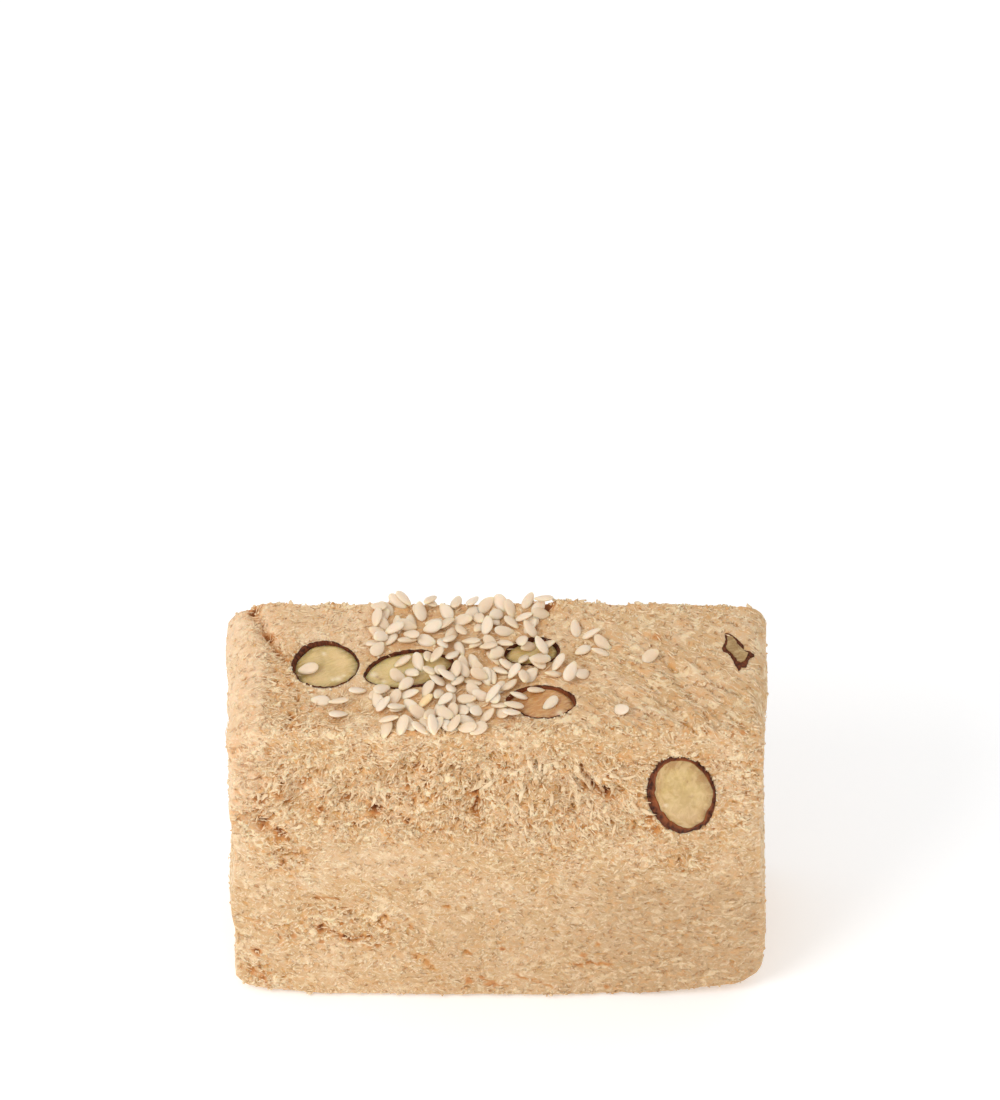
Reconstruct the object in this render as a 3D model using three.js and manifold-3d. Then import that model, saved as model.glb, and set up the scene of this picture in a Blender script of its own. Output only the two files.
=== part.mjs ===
// A slice of sesame halva with cut almonds and a patch of sesame seeds on top.
// Millimetres, +Z up. The slice stands on its base with the origin under its middle.
// X runs along the cut faces, -Y is the front cut face and +Y the back one.

import * as THREE from 'three';
import { mergeVertices } from 'three/addons/utils/BufferGeometryUtils.js';
import Module from 'manifold-3d';

// ---- driving dimensions ----

const WIDTH = 84; // side to side, across the loaf
const THICKNESS = 29; // between the two cut faces
const HEIGHT = 60; // base to top
const RIM = 1.2; // how far the knife-cut edges are broken
const GAP = 0.3; // between a cut almond and its pocket

// The loaf's four long corners, seen on a cut face.
const TOP_LEFT_RADIUS = 5;
const TOP_RIGHT_RADIUS = 3.5;
const BASE_LEFT_RADIUS = 3;
const BASE_RIGHT_RADIUS = 4.5;

// Cells of the body's skin: across, through and up.
const COLUMNS = 28;
const LAYERS = 8;
const ROWS = 19;
const ROW_CROWDING = 0.35;

// A sesame seed, and how much one differs from the next.
const SEED_LENGTH = 3.2;
const SEED_WIDTH = 1.95;
const SEED_DEPTH = 0.95;
const SEED_SPREAD = 0.1;
const SEED_SINK = 0.25; // how far a seed is pressed into what carries it
const SEED_YIELD = 0.8; // how fully it leans with what is under it
const SEED_MAX_TILT = 0.36; // rise over run
const SEED_TOUCH = 0.45; // what is nearer than this under a seed counts as carrying it
const SEED_DRAWS = 41; // starts the draws that size and place the seeds
const PATCH_SEEDS = 118;
const PATCH_TRIES = 16; // places tried for each seed, of which the lowest on the slice is taken

const HALF_WIDTH = WIDTH / 2;
const HALF_THICKNESS = THICKNESS / 2;

// ---- small tools ----

const clamp = (value, low, high) => Math.min(high, Math.max(low, value));

function ramp(from, to, value) {
  const t = clamp((value - from) / (to - from), 0, 1);
  return t * t * (3 - 2 * t);
}

const hill = (distance, radius) => Math.exp(-((distance / radius) ** 2));

// Repeatable values from -1 to 1 at whole-number places.
function latticeValue(i, j, salt) {
  let h = Math.imul(i, 374761393) ^ Math.imul(j, 668265263) ^ Math.imul(salt, 974634777);
  h = Math.imul(h ^ (h >>> 13), 1274126177);
  h ^= h >>> 16;
  return (h >>> 0) / 2147483648 - 1;
}

// Smooth unevenness between those values.
function bumps(u, v, salt) {
  const i = Math.floor(u);
  const j = Math.floor(v);
  const s = ramp(0, 1, u - i);
  const t = ramp(0, 1, v - j);
  const low = latticeValue(i, j, salt) * (1 - s) + latticeValue(i + 1, j, salt) * s;
  const high = latticeValue(i, j + 1, salt) * (1 - s) + latticeValue(i + 1, j + 1, salt) * s;
  return low * (1 - t) + high * t;
}

// Repeatable draws from 0 to 1.
function drawFrom(start) {
  let state = start;
  return () => {
    state = (state + 0x6d2b79f5) | 0;
    let t = Math.imul(state ^ (state >>> 15), 1 | state);
    t = (t + Math.imul(t ^ (t >>> 7), 61 | t)) ^ t;
    return ((t ^ (t >>> 14)) >>> 0) / 4294967296;
  };
}

function distanceToLine(u, v, [u0, v0], [u1, v1]) {
  const along = ((u - u0) * (u1 - u0) + (v - v0) * (v1 - v0)) / ((u1 - u0) ** 2 + (v1 - v0) ** 2);
  const t = clamp(along, 0, 1);
  return Math.hypot(u - u0 - t * (u1 - u0), v - v0 - t * (v1 - v0));
}

// ---- relief of each face, as millimetres pushed outwards ----

const CREASE = [[-39.2, 13.5], [-36.6, 8.2], [-33.4, 3]]; // where the left lip was folded over
const LIP_EDGE = [-37.5, -34.5];

// Hollows torn out of the front face: x, z, radius, depth.
const FRONT_HOLLOWS = [
  [-36.8, 41.5, 3.2, 1.3],
  [-31.5, 48.5, 3, 0.8],
  [-20.5, 44, 3.4, 0.9],
  [-12, 52.5, 2.8, 0.7],
  [-3.5, 44.5, 3.6, 0.9],
  [12.5, 47.5, 3.2, 1],
  [18, 46, 2.6, 1],
  [-12.5, 16, 3, 0.5],
];

function topRelief(x, y) {
  const lip = 0.6 * (1 - ramp(LIP_EDGE[0], LIP_EDGE[1], x));
  const [foldBack, foldTurn, foldFront] = CREASE;
  const fold = Math.min(
    distanceToLine(x, y, foldBack, foldTurn),
    distanceToLine(x, y, foldTurn, foldFront),
  );
  const crease = -1.1 * hill(fold, 1.5) - 0.5 * hill(Math.hypot(x + 36.6, y - 8.2), 2);
  const across = (x - 27) * 0.83 + (y + 6) * 0.56;
  const ripple = 0.3 * Math.sin(across * 1.25) * hill(Math.hypot(x - 27, y + 5), 9);
  const ragged = ramp(11, 14, y) * (0.35 + 0.55 * bumps(x / 3.2, 0.5, 7));
  const crumbled = 0.35 * ramp(-12, -14, y) * bumps(x / 3, 0.5, 8);
  const flake = 0.7 * hill(Math.hypot((x - 10.5) / 3, (y - 13.2) / 1.6), 1);
  return lip + crease + ripple + ragged + crumbled + flake + 0.28 * bumps(x / 6.5, y / 6.5, 1);
}

function frontRelief(x, z) {
  const belly = 1.1 * (1 - (x / HALF_WIDTH) ** 2) * ramp(60, 8, z);
  const torn = ramp(33, 41, z) * ramp(58.5, 54, z) * (0.25 + 0.75 * ramp(24, 15, x));
  const crags = torn * (0.95 * bumps(x / 3.4, z / 2.9, 2) + 0.3);
  const streaks = 0.3 * bumps(x / 9, z / 3.4, 3);
  const skin = -0.9 * ramp(-37, -42, x) - 0.7 * ramp(38, 42, x);
  let hollows = 0;
  for (const [hx, hz, radius, depth] of FRONT_HOLLOWS) {
    hollows -= depth * hill(Math.hypot(x - hx, z - hz), radius);
  }
  return belly + crags + streaks + skin + hollows;
}

function backRelief(x, z) {
  const crags = ramp(20, 34, z) * ramp(57, 50, z) * 0.6 * bumps(x / 3.6, z / 3.2, 4);
  return crags + 0.35 * bumps(x / 8, z / 4, 5) - 0.6 * ramp(37, 42, Math.abs(x)) - 0.5;
}

// The left side leans in a little towards the base, and the right side swells there.
function sideRelief(x, y, z) {
  if (x < 0) return 0.4 * bumps(y / 8, z / 6, 11) - 0.9 * ramp(40, 8, z);
  return 0.35 * bumps(y / 8, z / 7, 12) - 0.5 * hill(z - 38, 8) + 0.25 * hill(z - 14, 8);
}

// The base is flat in the middle and worn up towards its two ends.
const baseRise = (x) => 1.9 * ramp(20, 42, x) + 1.1 * ramp(-27, -42, x);

// ---- the body ----

// Moves an even grid line so that the first and last cells are narrow and make the broken edges.
// crowding draws the lines between them towards the high end, where the relief is finer.
function gridPlace(value, low, high, cells, crowding = 0) {
  const cell = Math.round(((value - low) / (high - low)) * cells);
  if (cell === 0) return low;
  if (cell === cells) return high;
  const t = (cell - 1) / (cells - 2);
  return low + RIM + (t + crowding * t * (1 - t)) * (high - low - 2 * RIM);
}

function cornerRadius(x, z) {
  if (z > HEIGHT / 2) return x < 0 ? TOP_LEFT_RADIUS : TOP_RIGHT_RADIUS;
  return x < 0 ? BASE_LEFT_RADIUS : BASE_RIGHT_RADIUS;
}

// Bends a point of the box's cut face or side into the loaf's round corner.
function roundCorner(point, outward) {
  const radius = cornerRadius(point.x, point.z);
  const up = point.z > HEIGHT / 2 ? 1 : -1;
  const side = Math.sign(point.x);
  const a = (Math.abs(point.x) - (HALF_WIDTH - radius)) / radius;
  const b = (Math.abs(point.z - HEIGHT / 2) - (HEIGHT / 2 - radius)) / radius;
  if (a <= 0 || b <= 0) return;
  const reach = Math.hypot(a, b);
  const shrink = Math.max(a, b) / reach;
  point.x = side * (HALF_WIDTH - radius + a * shrink * radius);
  point.z = HEIGHT / 2 + up * (HEIGHT / 2 - radius + b * shrink * radius);
  const flat = Math.hypot(outward.x, outward.z);
  outward.x = (side * a * flat) / reach;
  outward.z = (up * b * flat) / reach;
}

// Takes a point on the plain box and gives it the slice's shape.
function shapePoint(point) {
  const inner = new THREE.Vector3(
    clamp(point.x, RIM - HALF_WIDTH, HALF_WIDTH - RIM),
    clamp(point.y, RIM - HALF_THICKNESS, HALF_THICKNESS - RIM),
    clamp(point.z, RIM, HEIGHT - RIM),
  );
  const outward = point.clone().sub(inner).normalize();
  point.copy(inner).addScaledVector(outward, RIM);
  roundCorner(point, outward);
  const { x, y, z } = point;
  const face = y < 0 ? frontRelief(x, z) : backRelief(x, z);
  point.x += outward.x * Math.abs(outward.x) * sideRelief(x, y, z);
  point.y += outward.y * Math.abs(outward.y) * face;
  if (outward.z > 0) point.z += outward.z ** 2 * topRelief(x, y);
  point.z += baseRise(x) * ramp(16, 0, z);
  return point;
}

function bodyGeometry() {
  const geometry = new THREE.BoxGeometry(WIDTH, THICKNESS, HEIGHT, COLUMNS, LAYERS, ROWS);
  geometry.translate(0, 0, HEIGHT / 2);
  const places = geometry.attributes.position;
  const point = new THREE.Vector3();
  for (let n = 0; n < places.count; n++) {
    point.set(
      gridPlace(places.getX(n), -HALF_WIDTH, HALF_WIDTH, COLUMNS),
      gridPlace(places.getY(n), -HALF_THICKNESS, HALF_THICKNESS, LAYERS),
      gridPlace(places.getZ(n), 0, HEIGHT, ROWS, ROW_CROWDING),
    );
    shapePoint(point);
    places.setXYZ(n, point.x, point.y, point.z);
  }
  return geometry;
}

// ---- almonds ----

// Each almond is what the knife left: a flat cut face, and the rest of the nut sunk in the halva.
// at: middle of the cut face, on that face. turn: degrees about the face's own normal.
// point: 1 is a round end and more is a sharper one. egg: how much wider the left end is.
// proud: how far the rim of the cut face stands out of the halva.
const ALMONDS = [
  { name: 'almond_left', face: 'top', at: [-27, 0.8], size: [10.8, 10.2], depth: 5,
    turn: -8, point: 1.05, egg: 0.08, proud: -0.35 },
  { name: 'almond_middle', face: 'top', at: [-13.9, -0.2], size: [14.7, 8.4], depth: 4.5,
    turn: 14, point: 1.35, egg: 0, proud: -0.25 },
  { name: 'almond_under_seeds', face: 'top', at: [5.5, 3.6], size: [9, 6], depth: 3.5,
    turn: 12, point: 1.1, egg: -0.15, proud: -0.3 },
  { name: 'almond_top_front', face: 'top', at: [6.9, -7.2], size: [11.2, 7.4], depth: 3.5,
    turn: -6, point: 1.25, egg: -0.1, proud: -0.2 },
  { name: 'almond_front', face: 'front', at: [29, 46.4], size: [10.9, 17.4], depth: 5,
    turn: 6, point: 1.08, egg: 0, proud: 0.3 },
  { name: 'almond_back_broad', face: 'back', at: [-24, 35], size: [11.6, 15.8], depth: 5,
    turn: -20, point: 1.1, egg: 0, proud: 0.2 },
  { name: 'almond_back_slim', face: 'back', at: [13, 19], size: [6.4, 13.6], depth: 3.6,
    turn: 16, point: 1.2, egg: 0, proud: 0.2 },
];

// A splinter of almond near the right side: its outline about its middle, seen from above.
const CHIP_NAME = 'almond_chip';
const CHIP_AT = [36.9, 3.6];
const CHIP_OUTLINE = [
  [-0.9, 3.9], [-1.8, 0.6], [-0.6, -0.7], [0.4, -4.1], [1.9, -1.3], [1.3, 1], [0.4, 2.6],
];
const CHIP_DEPTH = 2.2;
const CHIP_SUNK = 0.1;

const PATCH_ALMOND = 'almond_under_seeds';

const ALMOND_SEGMENTS = 18;
const ALMOND_RINGS = 6;
const ALMOND_DOME = 0.25; // how far the middle of a cut face stands above its rim
const POCKET_LID = 3; // how far a pocket's cutter reaches out of the face

const topHeight = (x, y) => HEIGHT + topRelief(x, y);

// How far the outline reaches at an angle, as shares of half the length and half the width.
function almondOutline(angle, { point, egg }) {
  const u = Math.cos(angle);
  const v = Math.sign(Math.sin(angle)) * Math.abs(Math.sin(angle)) ** point * (1 - egg * u);
  return [u, v];
}

// The nut with its cut face up at z = 0. grow widens it all round, and lid lifts the cut face.
function almondShape(almond, grow = 0, lid = 0) {
  const geometry = new THREE.SphereGeometry(1, ALMOND_SEGMENTS, ALMOND_RINGS);
  geometry.rotateX(Math.PI / 2);
  const places = geometry.attributes.position;
  const [length, width] = almond.size;
  for (let n = 0; n < places.count; n++) {
    const x = places.getX(n);
    const y = places.getY(n);
    const z = places.getZ(n);
    const out = Math.hypot(x, y);
    const [u, v] = almondOutline(Math.atan2(y, x), almond);
    const height = z > 1e-6 ? lid + ALMOND_DOME * z : z * (almond.depth + grow);
    places.setXYZ(n, out * u * (length / 2 + grow), out * v * (width / 2 + grow), height);
  }
  return geometry;
}

// Turns a shape made for the top face into the face that it belongs to, and puts it there.
function placeOnFace(geometry, { face, at, turn, proud }) {
  geometry.rotateZ(THREE.MathUtils.degToRad(turn));
  if (face === 'top') {
    return geometry.translate(at[0], at[1], topHeight(at[0], at[1]) + proud);
  }
  geometry.rotateX(Math.PI / 2);
  if (face === 'front') {
    return geometry.translate(at[0], -HALF_THICKNESS - frontRelief(at[0], at[1]) - proud, at[1]);
  }
  geometry.rotateZ(Math.PI);
  return geometry.translate(at[0], HALF_THICKNESS + backRelief(at[0], at[1]) + proud, at[1]);
}

function chipShape(grow = 0, lid = 0) {
  const outline = new THREE.Shape(CHIP_OUTLINE.map(([x, y]) => {
    const reach = 1 + grow / Math.hypot(x, y);
    return new THREE.Vector2(x * reach, y * reach);
  }));
  const depth = CHIP_DEPTH + grow + lid;
  const geometry = new THREE.ExtrudeGeometry(outline, { depth, bevelEnabled: false });
  const [x, y] = CHIP_AT;
  return geometry.translate(x, y, topHeight(x, y) - CHIP_SUNK - CHIP_DEPTH - grow);
}

// ---- sesame seeds ----

// The patch of seeds runs from the back edge to the front one, between these two sides.
const PATCH_FRONT = -13.7;
const PATCH_BACK = 14;
const patchLeft = (y) => -19.4 + 2 * ramp(-6, -13, y);
const patchRight = (y) => 7.5 + 3.5 * hill(y, 3.5) - 4.5 * ramp(-2, -5, y) - 3.5 * ramp(-8, -13.5, y);

// Seeds set down one by one, on the almonds and beside the patch: x, y, heading in degrees.
const SINGLE_SEEDS = [
  [-29.7, -0.3, 172], [-27.7, -7.1, 175], [-24.9, -7.9, 168], [-24.9, -10.3, 25], [-21.9, -5.3, 20],
  [-14.9, 1.2, 210], [-12.4, 0.9, 290], [-10.8, 2.2, 265], [-9.5, 1.6, 235], [-15.6, -2, 335],
  [-13.3, -1.2, 315], [8.4, -7.6, 225], [5.4, -10.6, 15],
  [12.4, 8.4, 95], [14.9, 7.3, 20], [16.6, 5.1, 325], [16.3, 3.2, 170], [13.5, 4, 215],
  [24.1, 2.1, 30], [19.4, -9.5, 130], [13.5, -1.6, 50], [11.6, -2.1, 60],
];

// Heights of all that a seed can lie on, and whose they are, over a fine net of cells.
const CELL = 0.25;
const NET_WIDTH = WIDTH + 4;
const NET_DEPTH = THICKNESS + 4;
const NET_COLUMNS = Math.round(NET_WIDTH / CELL);
const NET_ROWS = Math.round(NET_DEPTH / CELL);
const KEEP_OFF = 0.5; // a seed on the halva stays this far from an almond
const CHIP_KEEP_OFF = 4.5; // and this far from the chip's middle
const NOBODY = -2; // the gap round an almond
const HALVA = -1; // almonds count from 0

const cellX = (column) => (column + 0.5) * CELL - NET_WIDTH / 2;
const cellY = (row) => (row + 0.5) * CELL - NET_DEPTH / 2;
const columnOf = (x) => Math.floor((x + NET_WIDTH / 2) / CELL);
const rowOf = (y) => Math.floor((y + NET_DEPTH / 2) / CELL);

// How far a place on the top lies inside an almond's outline: 1 is on the outline, less is inside.
function shareOfAlmond(x, y, almond, grow) {
  const turn = THREE.MathUtils.degToRad(almond.turn);
  const dx = x - almond.at[0];
  const dy = y - almond.at[1];
  const u = (dx * Math.cos(turn) + dy * Math.sin(turn)) / (almond.size[0] / 2 + grow);
  const v = (dy * Math.cos(turn) - dx * Math.sin(turn)) / (almond.size[1] / 2 + grow);
  const [reachU, reachV] = almondOutline(Math.atan2(v, u), almond);
  return Math.hypot(u, v) / Math.hypot(reachU, reachV);
}

function bareNet() {
  const net = { height: [], owner: [] };
  for (let row = 0; row < NET_ROWS; row++) {
    for (let column = 0; column < NET_COLUMNS; column++) {
      const x = cellX(column);
      const y = cellY(row);
      let height = topHeight(x, y);
      let owner = HALVA;
      ALMONDS.forEach((almond, index) => {
        if (almond.face !== 'top') return;
        if (shareOfAlmond(x, y, almond, -GAP / 2) < 1) {
          height = topHeight(...almond.at) + almond.proud + ALMOND_DOME / 2;
          owner = index;
        } else if (shareOfAlmond(x, y, almond, KEEP_OFF) < 1) {
          owner = NOBODY;
        }
      });
      if (Math.hypot(x - CHIP_AT[0], y - CHIP_AT[1]) < CHIP_KEEP_OFF) owner = NOBODY;
      net.height.push(height);
      net.owner.push(owner);
    }
  }
  return net;
}

// The cells under a seed, with their place along and across it and its half depth there.
function cellsUnder(seed) {
  const cells = [];
  const reach = seed.length / 2;
  const cos = Math.cos(seed.heading);
  const sin = Math.sin(seed.heading);
  for (let row = rowOf(seed.y - reach); row <= rowOf(seed.y + reach); row++) {
    for (let column = columnOf(seed.x - reach); column <= columnOf(seed.x + reach); column++) {
      const dx = cellX(column) - seed.x;
      const dy = cellY(row) - seed.y;
      const along = dx * cos + dy * sin;
      const across = dy * cos - dx * sin;
      const share = (along / reach) ** 2 + (across / (seed.width / 2)) ** 2;
      if (share >= 1) continue;
      const index = row * NET_COLUMNS + column;
      cells.push({ index, along, across, half: (seed.depth / 2) * Math.sqrt(1 - share) });
    }
  }
  return cells;
}

// Lets a seed down until it touches, tilted to what is under it. Says where it lies and on what.
function settle(net, seed) {
  const cells = cellsUnder(seed);
  const tilt = { along: 0, across: 0 };
  for (const way of ['along', 'across']) {
    let moment = 0;
    let spread = 0;
    for (const cell of cells) {
      moment += cell[way] * net.height[cell.index];
      spread += cell[way] ** 2;
    }
    tilt[way] = clamp((SEED_YIELD * moment) / spread, -SEED_MAX_TILT, SEED_MAX_TILT);
  }
  let z = -Infinity;
  for (const cell of cells) {
    const lean = tilt.along * cell.along + tilt.across * cell.across;
    z = Math.max(z, net.height[cell.index] - lean + cell.half);
  }
  let owner = null;
  let mixed = false;
  for (const cell of cells) {
    const under = z + tilt.along * cell.along + tilt.across * cell.across - cell.half;
    if (under - net.height[cell.index] > SEED_TOUCH) continue;
    if (owner === null) owner = net.owner[cell.index];
    if (owner !== net.owner[cell.index]) mixed = true;
  }
  const lift = z - topHeight(seed.x, seed.y);
  return { ...seed, z: z - SEED_SINK, lift, tilt, cells, owner: mixed ? NOBODY : owner };
}

function lay(net, seed) {
  for (const cell of seed.cells) {
    const lean = seed.tilt.along * cell.along + seed.tilt.across * cell.across;
    const crown = seed.z + lean + cell.half;
    if (crown <= net.height[cell.index]) continue;
    net.height[cell.index] = crown;
    net.owner[cell.index] = seed.owner;
  }
}

function drawSeed(draw, x, y, heading) {
  const size = () => 1 + SEED_SPREAD * (2 * draw() - 1);
  return {
    x, y, heading,
    length: SEED_LENGTH * size(),
    width: SEED_WIDTH * size(),
    depth: SEED_DEPTH * size(),
  };
}

// The patch covers the halva and one almond; the others carry single seeds.
const takesPatch = (owner) => owner === HALVA || ALMONDS[owner]?.name === PATCH_ALMOND;

function laySeeds() {
  const net = bareNet();
  const draw = drawFrom(SEED_DRAWS);
  const laid = [];
  for (const [x, y, degrees] of SINGLE_SEEDS) {
    const seed = settle(net, drawSeed(draw, x, y, THREE.MathUtils.degToRad(degrees)));
    if (seed.owner === NOBODY) continue;
    lay(net, seed);
    laid.push(seed);
  }
  for (let n = 0; n < PATCH_SEEDS; n++) {
    let best = null;
    for (let tried = 0; tried < PATCH_TRIES; tried++) {
      const y = PATCH_FRONT + (PATCH_BACK - PATCH_FRONT) * draw();
      const x = patchLeft(y) + (patchRight(y) - patchLeft(y)) * draw();
      const seed = settle(net, drawSeed(draw, x, y, 2 * Math.PI * draw()));
      if (takesPatch(seed.owner) && (best === null || seed.lift < best.lift)) best = seed;
    }
    if (best === null) continue;
    lay(net, best);
    laid.push(best);
  }
  return laid;
}

// A seed of few faces: broad at one end, drawn to a point at the other.
function seedShape({ x, y, z, heading, tilt, length, width, depth }) {
  const geometry = new THREE.OctahedronGeometry(1, 1);
  const places = geometry.attributes.position;
  for (let n = 0; n < places.count; n++) {
    const u = places.getX(n);
    const taper = 1.1 - 0.55 * ((1 + u) / 2) ** 2;
    const along = (u * length) / 2;
    const across = (places.getY(n) * taper * width) / 2;
    const lean = tilt.along * along + tilt.across * across;
    places.setXYZ(n, along, across, lean + (places.getZ(n) * depth) / 2);
  }
  geometry.rotateZ(heading);
  return geometry.translate(x, y, z);
}

// ---- joining and cutting ----

const SAME_POINT = 1e-4; // vertices nearer than this are one

const wasm = await Module();
wasm.setup();

function toSolid(geometry) {
  geometry.deleteAttribute('normal');
  geometry.deleteAttribute('uv');
  const merged = mergeVertices(geometry, SAME_POINT);
  return new wasm.Manifold(new wasm.Mesh({
    numProp: 3,
    vertProperties: new Float32Array(merged.attributes.position.array),
    triVerts: new Uint32Array(merged.index.array),
  }));
}

function toGeometry(solid) {
  const { vertProperties, triVerts } = solid.getMesh();
  const geometry = new THREE.BufferGeometry();
  geometry.setAttribute('position', new THREE.BufferAttribute(vertProperties, 3));
  geometry.setIndex(new THREE.BufferAttribute(triVerts, 1));
  geometry.computeVertexNormals();
  return geometry;
}

// The largest body of a solid: loose scraps go, and sealed hollows are filled.
function wholeBody(solid) {
  return solid.decompose().reduce((kept, piece) => (piece.volume() > kept.volume() ? piece : kept));
}

function addSeeds(solid, seeds) {
  let joined = solid;
  for (const seed of seeds) joined = joined.add(toSolid(seedShape(seed)));
  return wholeBody(joined);
}

// ---- the model ----

const HALVA_LOOK = { color: 0xdcb689, roughness: 0.85, metalness: 0 };
const KERNEL_LOOK = { color: 0xd9bc86, roughness: 0.55, metalness: 0 };

function namedMesh(name, solid, look) {
  const mesh = new THREE.Mesh(toGeometry(solid), new THREE.MeshStandardMaterial(look));
  mesh.name = name;
  return mesh;
}

const slice = new THREE.Group();
const seeds = laySeeds();

let body = toSolid(bodyGeometry());
for (const almond of ALMONDS) {
  body = body.subtract(toSolid(placeOnFace(almondShape(almond, GAP, POCKET_LID), almond)));
}
body = wholeBody(body.subtract(toSolid(chipShape(GAP, POCKET_LID))));
body = addSeeds(body, seeds.filter((seed) => seed.owner === HALVA));
slice.add(namedMesh('halva', body, HALVA_LOOK));

ALMONDS.forEach((almond, index) => {
  const nut = toSolid(placeOnFace(almondShape(almond), almond));
  const own = seeds.filter((seed) => seed.owner === index);
  slice.add(namedMesh(almond.name, addSeeds(nut, own), KERNEL_LOOK));
});
slice.add(namedMesh(CHIP_NAME, toSolid(chipShape()), KERNEL_LOOK));

export default slice;
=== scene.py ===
"""A slice of sesame halva: a crumbly block with cut almonds in it and hulled sesame on top.

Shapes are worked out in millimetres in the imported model's own frame: X runs along the cut faces,
-Y is the front cut face, +Z is up, and the origin is under the middle of the base. They become
metres when a mesh is written.
"""

import math

import bmesh
import bpy
import numpy as np
from mathutils import Euler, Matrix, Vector


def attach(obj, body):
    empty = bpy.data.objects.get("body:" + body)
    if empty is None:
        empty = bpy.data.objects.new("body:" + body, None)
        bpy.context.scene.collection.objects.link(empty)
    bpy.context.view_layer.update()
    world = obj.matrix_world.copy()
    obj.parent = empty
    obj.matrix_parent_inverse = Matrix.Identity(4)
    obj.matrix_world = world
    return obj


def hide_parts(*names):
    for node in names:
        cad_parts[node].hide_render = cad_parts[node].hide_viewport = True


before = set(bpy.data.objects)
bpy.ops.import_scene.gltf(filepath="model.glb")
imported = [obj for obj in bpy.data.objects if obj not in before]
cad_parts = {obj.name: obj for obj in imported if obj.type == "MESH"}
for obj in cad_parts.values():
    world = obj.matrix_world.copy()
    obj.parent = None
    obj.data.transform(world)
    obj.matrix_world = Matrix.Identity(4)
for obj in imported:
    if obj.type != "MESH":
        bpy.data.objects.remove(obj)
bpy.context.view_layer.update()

# ---- sizes, as the solids have them ----

MM = 0.001
WIDTH = 84  # side to side, across the loaf
THICKNESS = 29  # between the two cut faces
HEIGHT = 60  # base to top
RIM = 1.2  # how far the knife-cut edges are broken
HALF_WIDTH = WIDTH / 2
HALF_THICKNESS = THICKNESS / 2

TOP_LEFT_RADIUS = 5
TOP_RIGHT_RADIUS = 3.5
BASE_LEFT_RADIUS = 3
BASE_RIGHT_RADIUS = 4.5

SEED_LENGTH = 3.2
SEED_WIDTH = 1.95
SEED_DEPTH = 0.95
SEED_SPREAD = 0.1  # share by which a seed's measures vary
SEED_SINK = 0.25  # how deep a seed is pressed into what it lies on
SEED_YIELD = 0.8  # how far it tilts to the slope that is under it
SEED_MAX_TILT = 0.36  # as a slope
SEED_TOUCH = 0.45  # what is nearer than this under a seed counts as touched
SEED_DRAWS = 41  # where the draws start
PATCH_SEEDS = 118
PATCH_TRIES = 16  # places tried for each seed, of which the lowest is taken

# ---- what only the dressed slice has ----

SEED_SLIM = 0.97  # a round seed against the solid's few-sided one
FILL_SEEDS = 20  # laid after the solid's own, in the gaps of the patch
SEED_PILE = 2  # the most that a seed's middle may lie above the halva
SEED_AROUND, SEED_ALONG = 12, 11  # faces round a seed, and from end to end
FORM_DRAWS = 5  # where the draws for the seeds' forms start
LOOSE_DRAWS = 11  # and those for the loose bits
BODY_CELL = 0.68  # the halva's skin; the front and the top are cut twice as fine
LEAST, MOST = (-42.9, -16.4, -0.25), (42.9, 15.5, 62.4)  # loose bits keep between these
POCKET_EDGE = 0.2  # how near a pocket's outline the halva's own points are drawn onto it
POCKET_RIM = 1  # points are looked at so far outside the almond
POCKET_REACH = 4  # and so far above and below its rim
POCKET_DROP = 0.3  # how far a pocket falls away at once inside its outline
POCKET_ROOM = 0.2  # how much deeper than the nut it is
NEAR = 0.01  # points nearer than this to a face lie on it
TINY = 1e-6  # keeps a division from meeting 0


# ---- small tools ----

def ramp(start, end, value):
    """0 before the start and 1 after the end, with a smooth rise. The start may be the higher."""
    t = np.clip((value - start) / (end - start), 0, 1)
    return t * t * (3 - 2 * t)


def hill(distance, radius):
    """1 in the middle, and next to nothing at twice the radius."""
    return np.exp(-((distance / radius) ** 2))


def lattice_value(i, j, salt):
    """Repeatable values from -1 to 1 at whole-number places. Each salt gives a pattern of its own."""
    i, j = (np.atleast_1d(n).astype(np.int64).astype(np.uint32) for n in (i, j))
    h = i * np.uint32(374761393) ^ j * np.uint32(668265263) ^ np.uint32(salt * 974634777 % 2**32)
    h = (h ^ (h >> np.uint32(13))) * np.uint32(1274126177)
    h ^= h >> np.uint32(16)
    return h / 2147483648 - 1


def bumps(u, v, salt):
    """Smooth unevenness between those values."""
    i, j = np.floor(u), np.floor(v)
    s, t = ramp(0, 1, u - i), ramp(0, 1, v - j)
    low = lattice_value(i, j, salt) * (1 - s) + lattice_value(i + 1, j, salt) * s
    high = lattice_value(i, j + 1, salt) * (1 - s) + lattice_value(i + 1, j + 1, salt) * s
    return low * (1 - t) + high * t


def swirls(u, v, salt):
    """Unevenness with no grid to be seen in it, about -1 to 1."""
    i, j = np.floor(u), np.floor(v)
    s, t = ramp(0, 1, u - i), ramp(0, 1, v - j)
    total = 0
    for di, dj in ((0, 0), (1, 0), (0, 1), (1, 1)):
        turn = math.pi * lattice_value(i + di, j + dj, salt)
        slope = np.cos(turn) * (u - i - di) + np.sin(turn) * (v - j - dj)
        total = total + slope * (s if di else 1 - s) * (t if dj else 1 - t)
    return 1.5 * total


def lumps(u, v, salt):
    """Crumbs pressed together, one to a cell: 1 on a crown and 0 in the crease between two."""
    i, j = np.floor(u), np.floor(v)
    near = far = np.full(np.shape(u), 9.0)
    for di in (-1, 0, 1):
        for dj in (-1, 0, 1):
            du = i + di + 0.5 + 0.42 * lattice_value(i + di, j + dj, salt) - u
            dv = j + dj + 0.5 + 0.42 * lattice_value(i + di, j + dj, salt + 100) - v
            distance = np.hypot(du, dv)
            far = np.minimum(far, np.maximum(near, distance))
            near = np.minimum(near, distance)
    return np.sqrt(np.clip(far - near, 0, 1))


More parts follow.
